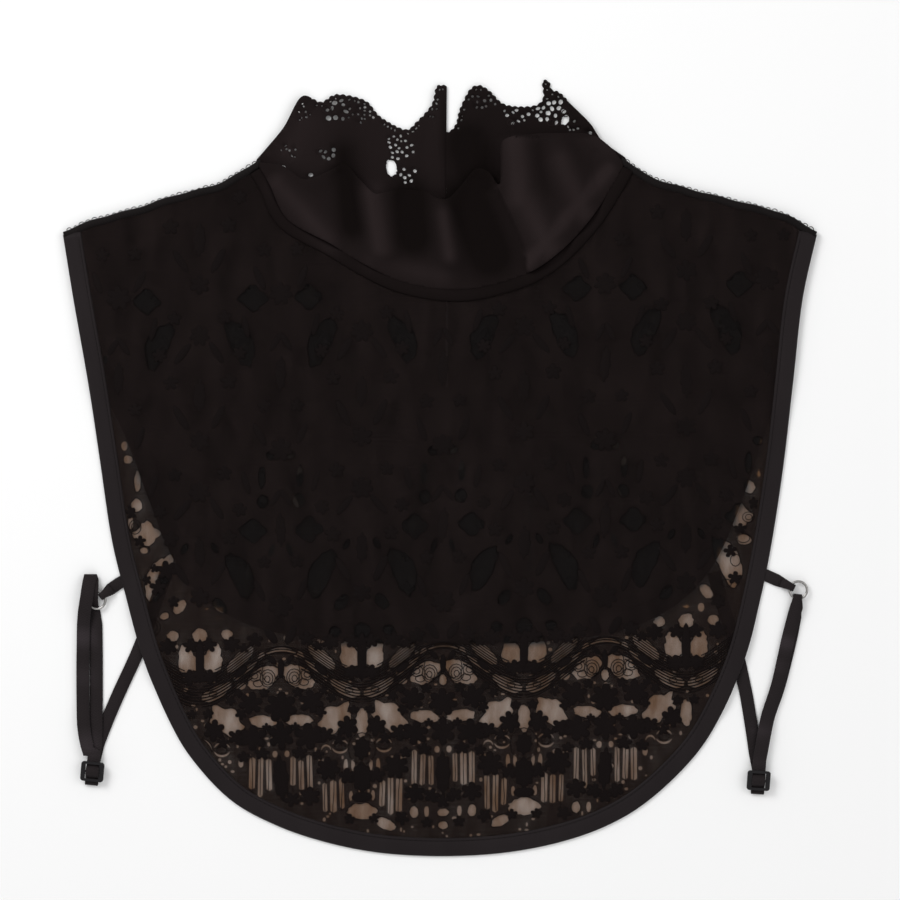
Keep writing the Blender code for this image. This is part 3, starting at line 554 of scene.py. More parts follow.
# %% The finishes of this collar
NET = netted_finish(
    "brown_net", ((0.17, 0.090, 0.046), (0.08, 0.040, 0.020)),
    (0.7, 0.9), 0.2, (2100.0, 0.11), 0.60,
)
# Painted shade: the net is painted almost black where the front lies on the back and the tails.
second_colour(NET, "painted_shade_over_back", (0.0060, 0.0050, 0.0049))
STITCHED = netted_finish(
    "dense_lace", ((0.0038, 0.0023, 0.0022), (0.0150, 0.0098, 0.0092)),
    (0.70, 0.88), 0.8, (1250.0, 0.30), 0.36,
)
RAISED = woven_finish(
    "raised_stitch", ((0.0032, 0.0020, 0.0020), (0.0075, 0.0048, 0.0046)),
    (0.70, 0.85), 0.6, (900.0, 2600.0), coordinates="Object",
)
COLLAR_CLOTH = woven_finish(
    "collar_lace", ((0.0135, 0.0088, 0.0088), (0.0225, 0.0158, 0.0160)),
    (0.78, 0.92), 0.35, (1700.0, 1700.0), coordinates="Object",
)
# Painted shade in the collar's folds: the cloth is painted almost black where it lies deep in a
# fold.
second_colour(COLLAR_CLOTH, "painted_fold_shade", (0.0036, 0.0020, 0.0018))
SATIN = woven_finish(
    "satin_binding", ((0.0105, 0.0078, 0.0084), (0.0180, 0.0142, 0.0150)),
    (0.42, 0.58), 0.25, (2600.0, 1800.0), 0.05,
)
RIBBED = woven_finish(
    "ribbed_elastic", ((0.010, 0.0076, 0.0080), (0.022, 0.0175, 0.0185)),
    (0.60, 0.80), 0.8, (900.0, 1500.0), 0.05,
)
# Painted highlights: the elastics are painted lighter where they catch the light.
second_colour(RIBBED, "painted_sheen", (0.050, 0.040, 0.045))
OVERLOCK = woven_finish(
    "overlock_thread", ((0.005, 0.004, 0.004), (0.010, 0.008, 0.008)),
    (0.60, 0.80), 0.9, (700.0, 1300.0),
)
METAL = hard_finish("nickel", (0.34, 0.33, 0.32), (0.16, 0.34), 0.5, 1.0, 220.0)
LACQUER = hard_finish("black_lacquer", (0.008, 0.007, 0.008), (0.30, 0.55), 0.22, 0.0, 300.0)
print("finishes", [m.name for m in bpy.data.materials])

# %% [markdown]
# ## Cutting a piece of lace
#
# A lace panel is its outline with the pattern's windows left open. The outline and the windows are
# drawn as closed lines, and the fill operator puts cloth between them. Then the cloth is cut across
# by planes a few millimetres apart, so that it has points enough to bend, and it settles to the
# height of what lies under it.

# %% Helpers for pieces
MERGE = 1e-7
# How far from the elastic's sewn end its shade begins, and how soft the shades' edges are.
TAIL_SHADE_END = 3.0
BACK_SHADE_EDGE = 2.5
TAIL_SHADE_EDGE = 1.6


def present(name, bm, finish, replaced=(), smooth=True):
    """Ends a piece: its mesh, finish, slot, body and the CAD nodes that it stands for."""
    mesh = bpy.data.meshes.new(name)
    bm.to_mesh(mesh)
    bm.free()
    piece = bpy.data.objects.new(name, mesh)
    bpy.context.scene.collection.objects.link(piece)
    mesh.materials.append(finish)
    mesh.polygons.foreach_set("use_smooth", [smooth] * len(mesh.polygons))
    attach(piece, "root")
    if replaced:
        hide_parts(*replaced)
    print(name, len(mesh.polygons), "faces")
    return piece


def settle(bm, level):
    """Moves every point to the height that the level gives at its place."""
    places = np.array([vertex.co[:2] for vertex in bm.verts]) / MM
    for vertex, height in zip(bm.verts, level(places)):
        vertex.co.z += height * MM


def cut_cloth(outline, windows, level, fold_step):
    """A sheet over its outline with windows left open, bent to its level."""
    bm = bmesh.new()
    for loop in (outline, *windows):
        corners = [bm.verts.new((x * MM, y * MM, 0.0)) for x, y in loop]
        for here, there in zip(corners, corners[1:] + corners[:1]):
            bm.edges.new((here, there))
    lines = bm.edges[:]
    bmesh.ops.triangle_fill(bm, use_beauty=True, use_dissolve=False, edges=lines, normal=(0, 0, 1))
    low, high = np.min(outline, axis=0), np.max(outline, axis=0)
    for axis, normal in ((0, (1, 0, 0)), (1, (0, 1, 0))):
        for place in np.arange(low[axis] + fold_step, high[axis], fold_step):
            here = [place * MM * n for n in normal]
            cloth = [*bm.verts, *bm.edges, *bm.faces]
            bmesh.ops.bisect_plane(bm, geom=cloth, dist=MERGE, plane_co=here, plane_no=normal)
    settle(bm, level)
    bm.normal_update()
    if sum(face.normal.z for face in bm.faces) < 0:
        bmesh.ops.reverse_faces(bm, faces=bm.faces)
    return bm


def mark_shade_under_front(bm):
    """Gives the front's points their painted shade: 0 over the table, 1 over the back and tails."""
    layer = bm.verts.layers.float.new("painted_shade_over_back")
    places = np.array([vertex.co[:2] for vertex in bm.verts]) / MM
    beyond = np.where(inside(places, [BACK_FOOTPRINT]), 0.0, distance_to(places, BACK_PATH))
    dark = soft_fall(beyond, 0.0, BACK_SHADE_EDGE)
    for tail in (LEFT_TAIL, RIGHT_TAIL):
        beyond = distance_to(places, trimmed(tail, TAIL_SHADE_END))
        dark = np.maximum(dark, soft_fall(beyond, ELASTIC_WIDTH / 2 - 0.6, TAIL_SHADE_EDGE))
    for vertex, share in zip(bm.verts, dark):
        vertex[layer] = share


def flat_area(bm):
    """The cloth's area in square metres."""
    return sum(face.calc_area() for face in bm.faces)


def flat_size(outline):
    """The width and length of a cut in metres."""
    return tuple(float(x) * MM for x in np.ptp(np.array(outline), axis=0))


# %% [markdown]
# ## The lace's repeat
#
# Border lace is worked in a repeat that is mirrored about a crest and comes back every 81 mm. A
# repeat is a short chart: windows where only net is left, slits beside the wave, curved slits round
# the tulips and curls, slots between upright threads, and pin-holes. Raised flowers and leaves come
# later. The rows rise a little to the right, as the lace was cut. Where two windows meet, the later
# one is left out, so the largest are first. No two copies are alike, as with real stitches.

# %% The chart of windows
CREST_X = 1.5
REPEAT = 81.0
HALF_REPEAT = REPEAT / 2
SLANT = 0.03
COPIES = range(-3, 4)
# Across from the crest, height on the bib, width, height, turn, lobes, bump. The first ones are
# large and are placed before the slots, the rest are small and are placed after them.
LARGE_ROWS = 13
BORDER_WINDOWS = (
    (27, -122.6, 18.6, 12.5, 38, 5, 0.14), (34, -91.8, 9.8, 14, 14, 3, 0.14),
    (8.8, -101.6, 17, 11, -30, 4, 0.06), (9, -123.4, 14.5, 6.5, 4, 0, 0),
    (40.5, -170, 16, 9, 0, 0, 0), (28.5, -176.6, 10.5, 5.6, 24, 0, 0),
    (40.5, -125.6, 6.6, 14, 0, 0, 0), (0, -105.4, 4.4, 6, 0, 0, 0),
    (20, -105.6, 5, 3.4, -20, 0, 0), (40.5, -79.5, 8, 8, 0, 0, 0), (27, -79.5, 6, 5.5, 0, 0, 0),
    (0, -178, 5.4, 4.6, 0, 0, 0), (14.5, -171, 5, 6.5, 0, 0, 0), (0, -171.6, 6.2, 4.2, 0, 0, 0),
    (20, -144, 2.6, 4.6, 0, 0, 0), (8.2, -171, 2.4, 5.6, 0, 0, 0), (3, -140, 2.6, 3.4, 0, 0, 0),
    (32.4, -147, 2.2, 7.4, 0, 0, 0), (36, -146.6, 1.8, 6, 0, 0, 0), (35, -162, 2, 5.2, 0, 0, 0),
)
FIELD_WINDOWS = (
    (20, -50, 25, 11.5, 66, 3, 0.10), (30.5, -65, 9, 5.5, 50, 0, 0),
    (14, -28, 12.5, 11.5, 0, 4, 0.14), (9, -13.5, 6, 7, 0, 0, 0), (9.5, -1.5, 3.6, 11, 0, 0, 0),
    (4.8, 9.5, 5, 4.5, 0, 0, 0), (4.5, -38, 2.6, 7, 20, 0, 0), (33, -36, 3, 6, -30, 0, 0),
)
UPPER_FIELD_RISE = 116.0
UPPER_FIELD_ROWS = (0, 2)
BACK_FIELD_SHIFT = 22.0
BACK_FIELD_RISE = 34.0
# Single windows where the lace meets the side bindings: x, y, width, height, turn.
SIDE_WINDOWS = (
    (154, -23, 7.6, 6.6, -12), (151.8, -35, 8, 6, -16), (147.6, -45.8, 6.6, 7.6, 0),
    (142.6, -57, 7, 5, 30), (157, -11, 4.6, 8, -10), (-152.8, -29, 7, 8.6, 10),
    (-148, -41, 7, 5.6, 14), (-143.6, -79, 9.4, 10.6, 0), (-157.2, -14, 4.4, 8.6, 12),
    (-170.2, 67, 1.8, 7, 8), (-167, 54.5, 2.2, 4, 8), (-157.6, 11.5, 3.2, 4.6, 0),
    (-155.6, -2, 2.8, 9, 10), (-150.2, -16, 3, 5, 20), (-154.6, -27, 2.6, 6, 0),
    (-148, -41, 4, 3.4, 0), (-140.6, -31.5, 2.6, 6.4, 24), (-138.2, -53, 3.4, 4.4, 0),
    (-137.6, -73.5, 5, 4, 20), (-127.8, -67.5, 3, 4, 0), (157.2, 6, 2.6, 5.4, -8),
    (151.6, -17, 2.2, 6.4, -12), (157.4, -9, 1.8, 3.4, 0), (146, -29.5, 4.4, 3.4, 0),
    (154, -33, 2, 6, -8), (141.6, -40, 3, 4.4, 20), (148.6, -61, 2, 6, 0),
    (139.6, -66.5, 4.4, 3.2, 0), (130.4, -69, 3.2, 4.4, 0),
)
# Across from the crest, height on the bib, length of the slots between the upright threads.
THREAD_SLOTS = (
    (6, -149.5, 19), (10.2, -150, 20.5), (14.4, -150, 19), (22, -161.8, 17.5),
    (26.2, -162.5, 18.5), (30.4, -161, 16.5),
)
SLOT_WIDTH = 3.1
# Distance over the wave's middle line, from and to across the crest, width of the slit.
WAVE_SLITS = (
    (3.2, -7.5, 7.5, 3), (3.2, 8.2, 11.4, 3), (1.1, 12, 24, 4.2), (8.6, 13.6, 27.2, 8.6),
    (-0.4, 24.6, 39.8, 7.4),
)
# Across from the crest, height on the bib, reach across and up, first and last angle, width.
ARC_SLITS = (
    (40.5, -138.5, 6.2, 7.2, 100, 172, 1.1), (40.5, -138.5, 6.2, 7.2, 8, 80, 1.1),
    (40.5, -138.5, 6.2, 7.2, 190, 250, 1), (40.5, -138.5, 6.2, 7.2, 290, 350, 1),
    (29.5, -137, 4, 3.2, 20, 160, 1.1), (29.5, -137, 4, 3.2, 200, 340, 1.1),
    (34.6, -136, 3, 3.4, 190, 300, 1), (22.6, -139, 2.4, 2.6, 10, 170, 1),
    (0, -120, 7.4, 7.2, 200, 250, 0.9), (0, -120, 7.4, 7.2, 290, 340, 0.9),
)
# Pin-holes thrown between the figures: how many, how far to each side, from which height to which.
PIN_HOLES = 1000
PIN_REACH = 160.0
PIN_ROWS = (-186.0, -84.0)
PIN_SIZES = (0.9, 2.3)
# A window above this area has more corners and rougher edges than a small one.
LARGE_AREA = 18.0
LARGE_CORNERS, LARGE_RAGGED = 30, 0.10
SMALL_CORNERS, SMALL_RAGGED = 14, 0.05
SLIT_STEPS = 14
ARC_STEPS = 9
WAVE_TOP = -91.2
WAVE_FALL = 19.0
HAND = np.random.default_rng(5)


def wave_height(x):
    """The middle line of the wave that runs under the tree motifs."""
    share = (1 - np.cos(math.tau * (np.asarray(x) - CREST_X) / REPEAT)) / 2
    return WAVE_TOP - WAVE_FALL * share + SLANT * (np.asarray(x) - CREST_X)


def window_line(x, y, width, height, turn=0.0, lobes=0, bump=0.0):
    """The closed line of one window, with the slight unevenness of stitches."""
    large = width * height > LARGE_AREA
    corners = LARGE_CORNERS if large else SMALL_CORNERS
    cosine, sine = math.cos(math.radians(turn)), math.sin(math.radians(turn))
    uneven = HAND.uniform(-1, 1, corners) * (LARGE_RAGGED if large else SMALL_RAGGED)
    line = []
    for corner in range(corners):
        angle = math.tau * (corner + 0.5) / corners
        reach = 1 + bump * math.cos(lobes * (angle - math.pi / 2)) + uneven[corner]
        a = width / 2 * reach * math.cos(angle)
        b = height / 2 * reach * math.sin(angle)
        line.append((x + a * cosine - b * sine, y + a * sine + b * cosine))
    return line


def slanted(x, y):
    """The height of a row at a place across, since the rows rise a little to the right."""
    return y + SLANT * (x - CREST_X)


def copies_of(across):
    """The middle x and the side of every copy of something at this distance from the crests."""
    on_axis = across in (0.0, HALF_REPEAT)
    for crest in COPIES:
        for side in (1, -1):
            if not (on_axis and side < 0):
                yield CREST_X + REPEAT * crest + side * across, side


def repeated_windows(rows, rise=0.0, shift=0.0):
    """The rows' windows, mirrored about each crest and repeated across the bib."""
    lines = []
    for across, y, width, height, turn, lobes, bump in rows:
        for x, side in copies_of(across):
            x, grow = x + shift, HAND.uniform(0.95, 1.04)
            size = width * grow, height * grow
            here = slanted(x, y + rise)
            lines.append(window_line(x, here, *size, side * turn, lobes, bump))
    return lines


def slot_lines():
    """The slots between the upright threads, with rounded ends."""
    lines = []
    for across, y, length in THREAD_SLOTS:
        for x, side in copies_of(across):
            here = slanted(x, y) + HAND.uniform(-1.2, 1.2)
            half = SLOT_WIDTH / 2 * HAND.uniform(0.7, 1.05)
            end = length / 2 * HAND.uniform(0.75, 1.08)
            lean = HAND.uniform(-0.35, 0.35)
            lower = ((-half, 1 - end), (0, -end), (half, 1 - end))
            corners = [*lower, *((-a, -b) for a, b in lower)]
            lines.append([(x + a + lean * b / end, here + b) for a, b in corners])
    return lines


def slit_lines():
    """The narrow slits that follow the wave."""
    lines = []
    for over, start, end, width in WAVE_SLITS:
        for x, side in copies_of(0.0 if start < 0 else 1.0):
            axis = x if start < 0 else x - side
            line = axis + side * np.linspace(start, end, SLIT_STEPS)
            spread = width / 2 * np.sqrt(np.sin(np.pi * np.linspace(0.03, 0.97, SLIT_STEPS)))
            y = wave_height(line) + over
            lines.append([*zip(line, y + spread), *list(zip(line, y - spread))[::-1]])
    return lines


def arc_lines():
    """Thin curved windows that draw the tulips and their curls."""
    lines = []
    for across, y, wide, high, start, end, width in ARC_SLITS:
        for x, side in copies_of(across):
            here = slanted(x, y)
            angles = np.radians(np.linspace(start, end, ARC_STEPS))
            spread = width / 2 * np.sin(np.pi * np.linspace(0.1, 0.9, ARC_STEPS))
            steps = [*zip(angles, spread), *list(zip(angles, -spread))[::-1]]
            lines.append([
                (x + side * (wide + s) * math.cos(a), here + (high + s) * math.sin(a))
                for a, s in steps
            ])
    return lines


def windows_within(outline, wanted, margin, web):
    """The windows that keep a margin of lace to the outline and a web to each other."""
    kept = []
    for line in wanted:
        if not inside(line, [outline]).all():
            continue
        if distance_to(line, outline, closed=True).min() < margin:
            continue
        middle = np.mean(line, axis=0)
        reach = np.linalg.norm(np.array(line) - middle, axis=1).max()
        near = (
            other for other, other_middle, other_reach in kept
            if np.linalg.norm(middle - other_middle) <= reach + other_reach + web
        )
        if not any(
            distance_to(line, other, closed=True).min() < web or inside(line, [other]).any()
            for other in near
        ):
            kept.append((line, middle, reach))
    return [line for line, _, _ in kept]


# %% The front's lace
SEAM_STEP = 3.0
BINDING_TUCK = 7.8
SHOULDER_TUCK = 3.2
FRONT_NECK_TUCK = 5.4
LACE_MARGIN = 1.2
FRONT_WEB = 0.5
# What lies on each other: the net, the raised forms, the lace's ground and the cords.
NET_LEVEL, FORM_LEVEL, LACE_LEVEL, CORD_LEVEL = 0.45, 0.55, 0.75, 0.86
FRONT_LACE_FOLDS, FRONT_NET_FOLDS = 6.0, 3.0


def panel_outline(path, neck, neck_tuck):
    """The edge of a panel's lace, a little under its binding and its seams."""
    right = curve_through(RIGHT_SHOULDER, SEAM_STEP)
    neck = curve_through(neck, SEAM_STEP)
    left = curve_through(LEFT_SHOULDER[::-1], SEAM_STEP)
    side = moved_left(path, BINDING_TUCK)
    right = moved_left([path[-1], *right[1:]], SHOULDER_TUCK)
    neck_edge = moved_left(neck, neck_tuck)
    left = moved_left(left, SHOULDER_TUCK)
    side = [p for p in side if p[1] < left[-1][1]]
    right = [p for p in right if p[0] < side[-1][0]]
    top = min(right[-1][1], left[0][1])
    neck_edge = [p for p in neck_edge if right[-1][0] > p[0] > left[0][0] and p[1] < top]
    left = [p for p in left if p[0] > side[0][0]]
    return [tuple(p) for p in (*side, *right, *neck_edge, *left)]


front_outline = panel_outline(FRONT_PATH, FRONT_NECK, FRONT_NECK_TUCK)
upper_windows = [FIELD_WINDOWS[row] for row in UPPER_FIELD_ROWS]
wanted = slit_lines() + repeated_windows(FIELD_WINDOWS)
wanted += repeated_windows(BORDER_WINDOWS[:LARGE_ROWS])
wanted += repeated_windows(upper_windows, rise=UPPER_FIELD_RISE)
wanted += slot_lines() + repeated_windows(BORDER_WINDOWS[LARGE_ROWS:]) + arc_lines()
wanted += [window_line(*row) for row in SIDE_WINDOWS]
for _ in range(PIN_HOLES):
    place = HAND.uniform(-PIN_REACH, PIN_REACH), HAND.uniform(*PIN_ROWS)
    wanted.append(window_line(*place, *HAND.uniform(*PIN_SIZES, 2)))
front_windows = windows_within(front_outline, wanted, LACE_MARGIN, FRONT_WEB)
bm = cut_cloth(front_outline, front_windows, on_front(LACE_LEVEL), FRONT_LACE_FOLDS)
front_area = flat_area(bm)
front_lace = present("front_lace", bm, STITCHED, ["front_panel"])
print("front windows", len(front_windows), "lace", round(front_area, 4), "square metres")

# %% The front's net
bm = cut_cloth(front_outline, [], on_front(NET_LEVEL), FRONT_NET_FOLDS)
mark_shade_under_front(bm)
front_net_area = flat_area(bm)
front_net = present("front_net", bm, NET)

# %% [markdown]
# ## Raised flowers and leaves
#
# On real border lace the flowers are filled with dense satin stitch, so they stand a little above
# the ground and are its blackest part. One form of each kind is modelled: a round of points pulled
# out into petals, extruded to its thickness and inset to a low dome. It is then placed again and
# again from the chart, with its base on the lace.

# %% The raised forms
STITCH_RISE = 0.5
# The two steps of a form's dome: share of the rise and how far it is drawn in.
DOME = ((0.62, 0.97), (0.38, 0.74))


def raised_form(petals, depth, corners, point=0.0):
    """One raised form with a reach of 1 mm. point draws its ends out, as on a leaf."""
    bm = bmesh.new()
    made = bmesh.ops.create_circle(bm, cap_ends=True, segments=corners, radius=1.0)
    for vertex in made["verts"]:
        angle = math.atan2(vertex.co.y, vertex.co.x)
        reach = 1 - depth + depth * abs(math.cos(petals * (angle - math.pi / 2) / 2)) ** 0.7
        vertex.co *= reach * (1 - point * abs(math.cos(angle)) ** 1.5)
    face = bm.faces[:]
    for share, shrink in DOME:
        raised = bmesh.ops.extrude_face_region(bm, geom=face)["geom"]
        top = [part for part in raised if isinstance(part, bmesh.types.BMVert)]
        face = [part for part in raised if isinstance(part, bmesh.types.BMFace)]
        bmesh.ops.translate(bm, vec=(0, 0, STITCH_RISE * share), verts=top)
        bmesh.ops.scale(bm, vec=(shrink, shrink, 1.0), verts=top)
    bmesh.ops.poke(bm, faces=[one for one in bm.faces if len(one.verts) > 4])
    bmesh.ops.recalc_face_normals(bm, faces=bm.faces)
    form = bpy.data.meshes.new("form")
    bm.to_mesh(form)
    bm.free()
    return form


FORMS = {
    "flower_5": raised_form(5, 0.50, 30),
    "flower_6": raised_form(6, 0.44, 36),
    "flower_7": raised_form(7, 0.38, 42),
    "leaf": raised_form(0, 0.0, 16, 0.30),
    "lobed_leaf": raised_form(8, 0.30, 40, 0.15),
}

# %% The chart of raised forms
# Across from the crest, height on the bib, half width, half height, turn, form.
BORDER_FORMS = (
    (0, -116.6, 8, 7.6, 0, "flower_7"), (15.2, -114.2, 6.6, 6, 14, "flower_6"),
    (8.4, -109.4, 2.9, 2.7, 0, "flower_5"), (21.4, -109, 2.6, 2.4, 20, "flower_5"),
    (20, -119.6, 3, 2.8, 40, "flower_5"), (14, -131.6, 7.6, 6.6, 8, "flower_6"),
    (0, -131, 6.6, 7.4, 0, "flower_6"), (7.2, -126.6, 2.4, 2.4, 0, "flower_5"),
    (22.2, -131, 4.8, 4.2, 24, "flower_5"), (33.4, -127.4, 5.4, 5.6, 10, "flower_6"),
    (29, -133.6, 3.4, 3, 0, "flower_5"), (36.4, -119, 2.8, 2.6, 0, "flower_5"),
    (25.2, -112.6, 2.8, 2.6, 30, "flower_5"), (40.5, -138.5, 5.2, 6, 0, "lobed_leaf"),
    (23.6, -148, 6.6, 6.4, 0, "flower_7"), (18.6, -141, 3.4, 3, 0, "flower_5"),
    (9.4, -139.6, 4.2, 3.4, 0, "flower_5"), (14.4, -161.6, 5.6, 5, 0, "flower_6"),
    (5.6, -163, 4.2, 3.8, 20, "flower_5"), (40.5, -153, 6.4, 8.6, 0, "lobed_leaf"),
    (33.2, -152, 4.4, 4, 0, "flower_5"), (0, -152, 4.6, 11.4, 0, "lobed_leaf"),
    (0, -166, 4, 3.6, 0, "flower_5"), (20.6, -173.8, 4, 3.6, 30, "flower_5"),
    (34.4, -173.6, 3, 2.8, 0, "flower_5"), (40.5, -162.8, 7.6, 2.6, 0, "leaf"),
    (8, -176.4, 3.4, 3, 0, "flower_5"), (40.5, -92.5, 3.2, 12, 0, "leaf"),
    (35.4, -100.4, 4.6, 4, 0, "flower_6"), (35.8, -84.6, 4.2, 3.8, 0, "flower_5"),
    (40.5, -99.6, 4, 4, 0, "flower_5"), (0, -97.2, 2.2, 4.8, 0, "leaf"),
    (20, -98.4, 2.6, 4.2, 52, "leaf"), (4.6, -92.8, 2, 2.6, -40, "leaf"),
    (24.6, -84.6, 5, 4.4, 0, "flower_6"), (13, -82.6, 4.2, 3.8, 0, "flower_5"),
    (18.4, -86.6, 3.2, 2.8, 0, "flower_5"), (5, -80.6, 3, 5, -30, "leaf"),
)
FIELD_FORMS = (
    (0, -66, 6.2, 6, 0, "flower_7"), (10.6, -58, 2.6, 6.4, -24, "leaf"),
    (31.2, -48.6, 2.8, 7, 30, "leaf"), (40.5, -60.5, 5.4, 5.2, 0, "flower_6"),
    (40.5, -38, 3.6, 8.4, 0, "lobed_leaf"), (26, -31, 4.2, 4, 0, "flower_5"),
    (8.2, -44, 3.8, 3.6, 0, "flower_5"), (0, -28, 3.2, 8.8, 0, "lobed_leaf"),
    (20.5, -17.2, 3.9, 3.7, 12, "flower_6"), (32, -16.5, 2.6, 6.6, -36, "leaf"),
    (2.6, -12, 2.2, 5.2, 30, "leaf"), (40.5, -8, 5.6, 5.4, 0, "flower_7"),
    (17.4, -4, 2.3, 6, -16, "leaf"), (28, 1, 4, 3.8, 0, "flower_5"),
)
# Single forms on the sides: x, y, half width, half height, turn, form.
SIDE_FORMS = (
    (-136.2, -50.6, 5.6, 5.2, 10, "flower_6"), (-140.8, -59.2, 4.8, 4.4, 0, "flower_5"),
    (-142.6, -49.6, 2.6, 2.4, 0, "flower_5"), (-146.4, -55.4, 2.4, 3, 20, "flower_5"),
    (-133, -66.4, 3.2, 3, 0, "flower_5"), (-150, -36, 3.4, 3, 0, "flower_5"),
    (-154.6, -21.6, 2.8, 3.6, 10, "flower_5"), (152.4, -48, 3.4, 4.4, 20, "lobed_leaf"),
    (147.4, -54.4, 4, 3.6, 0, "flower_5"), (145, -41, 3.4, 3.2, 10, "flower_5"),
    (150, -29.6, 3.4, 2.6, 0, "flower_5"), (156.6, -17, 2.6, 3.4, 0, "flower_5"),
    (139, -66, 3.8, 3.4, 0, "flower_6"),
)
FIELD_STEP = 78.0
FIELD_ROWS = 3
FORM_CLEAR = 1.0


def place_forms(rows, outline, level, shift=0.0, alone=()):
    """A mesh of raised forms, each with its base on the level: rows are repeated, alone are not."""
    spots = []
    for across, y, *rest in rows:
        for x, side in copies_of(across):
            spots.append(((x + shift, slanted(x + shift, y)), side, rest))
    spots += [((x, y), 1, rest) for x, y, *rest in alone]
    bm = bmesh.new()
    for here, side, (wide, high, turn, form) in spots:
        near = distance_to([here], outline, closed=True)[0]
        if not inside([here], [outline])[0] or near < FORM_CLEAR + 0.9 * min(wide, high):
            continue
        bm.from_mesh(FORMS[form])
        bm.verts.ensure_lookup_table()
        fresh = bm.verts[-len(FORMS[form].vertices):]
        grow = HAND.uniform(0.94, 1.06)
        turned = Matrix.Rotation(math.radians(side * turn + HAND.uniform(-6, 6)), 4, "Z")
        size = Matrix.Diagonal((wide * grow, high * grow, 1.0, 1.0))
        moved = Matrix.Translation((here[0], here[1], HAND.uniform(-0.04, 0.04)))
        bmesh.ops.transform(bm, matrix=moved @ turned @ size, verts=fresh)
    bmesh.ops.scale(bm, vec=(MM, MM, MM), verts=bm.verts)
    settle(bm, level)
    return bm


field_forms = [
    (across, y + row * FIELD_STEP, *rest)
    for row in range(FIELD_ROWS)
    for across, y, *rest in FIELD_FORMS
]
all_forms = [*BORDER_FORMS, *field_forms]
bm = place_forms(all_forms, front_outline, on_front(FORM_LEVEL), alone=SIDE_FORMS)
front_flowers = present("front_flowers", bm, RAISED)

# %% [markdown]
# ## Cords, rims and rosettes
#
# Thin cords edge the larger windows, run beside each other along the wave, cross the slots as
# threads and curl into rosettes. A cord is a curve with a round bevel, which is the quickest way to
# give a line its thickness. The curves are turned into one mesh once they are laid.

# %% Helpers for cords
def lay_cords(name, runs, level, finish):
    """One mesh of cords. Each run is its points, its half thickness in mm and whether it closes."""
    line = bpy.data.curves.new(name, "CURVE")
    line.dimensions = "3D"
    line.bevel_depth = 1.0
    line.bevel_resolution = 0
    line.use_fill_caps = True
    for points, half, closed in runs:
        points = np.array(points)
        heights = level(points)
        spline = line.splines.new("POLY")
        spline.points.add(len(points) - 1)
        spline.use_cyclic_u = closed
        for point, (x, y), z in zip(spline.points, points, heights):
            point.co = (x, y, z, 1.0)
            point.radius = half
    laid = bpy.data.objects.new(name, line)
    bpy.context.scene.collection.objects.link(laid)
    shown = laid.evaluated_get(bpy.context.evaluated_depsgraph_get())
    mesh = bpy.data.meshes.new_from_object(shown)
    bpy.data.objects.remove(laid)
    bpy.data.curves.remove(line)
    bm = bmesh.new()
    bm.from_mesh(mesh)
    bpy.data.meshes.remove(mesh)
    bmesh.ops.scale(bm, vec=(MM, MM, MM), verts=bm.verts)
    return present(name, bm, finish)


def runs_within(path, outline, margin):
    """The stretches of a path that lie inside the outline, clear of its edge."""
    path = np.array(path)
    good = inside(path, [outline]) & (distance_to(path, outline, closed=True) > margin)
    runs, run = [], []
    for point, keep in zip(path, good):
        if keep:
            run.append(tuple(point))
            continue
        if len(run) > 3:
            runs.append(run)
        run = []
    return runs + ([run] if len(run) > 3 else [])


def ring_line(x, y, wide, high, corners=12):
    return [
        (x + wide * math.cos(math.tau * k / corners), y + high * math.sin(math.tau * k / corners))
        for k in range(corners)
    ]


# %% The front's cords
RIM_FROM = 3.6
RIM_HALF = 0.22
RING_HALF = 0.2
THREAD_HALF = 0.17
THREAD_SHARES = (-0.5, -0.2, 0.1, 0.5)
WAVE_STEP = 1.5
CORD_MARGIN = 0.8
# Distance over the wave's middle line, half thickness, from and to across the crest.
WAVE_CORDS = (
    (11.6, 0.24, 15, 33), (10.2, 0.24, 14, 34.5), (8.8, 0.28, 13, 36), (7.5, 0.28, 12, 37.5),
    (6.2, 0.28, 10, 37.5), (5, 0.30, 0, 39), (3.6, 0.28, 0, 40.5), (2.2, 0.32, 0, 40.5),
    (0.8, 0.34, 5, 40.5), (-0.7, 0.32, 9, 40.5), (-2.2, 0.34, 9, 40.5), (-3.8, 0.36, 10, 40.5),
    (-5.2, 0.28, 14, 40.5),
)
# Across from the crest, height on the bib, half width and half height of each ring of the rosettes.
ROSETTE_RINGS = (
    (6.6, -102, 3.8, 4.4), (6.6, -102.2, 2.6, 3.1), (6.8, -102.4, 1.3, 1.6), (13, -100.6, 3, 2.8),
    (13.2, -100.6, 1.7, 1.5), (5, -99, 4.6, 5.6), (11.4, -104.4, 2.4, 1.7), (40.5, -138.5, 7, 8),
    (29.5, -137, 2.6, 2), (34, -109, 2, 1.4),
)
# Rings on the sides: middle x and y, half width and half height.
SIDE_RINGS = (
    (154, -24, 3, 2.6), (154.2, -24, 1.7, 1.4), (151.6, -34.6, 3.2, 2.2), (147.6, -45.5, 2.6, 3),
    (143, -57, 2.6, 2), (-152.4, -29, 3, 3.6), (-152.6, -29, 1.6, 2), (-147.6, -40.5, 2.6, 2),
    (-143.6, -79, 4, 4.4), (-143.6, -79, 2.4, 2.8),
)

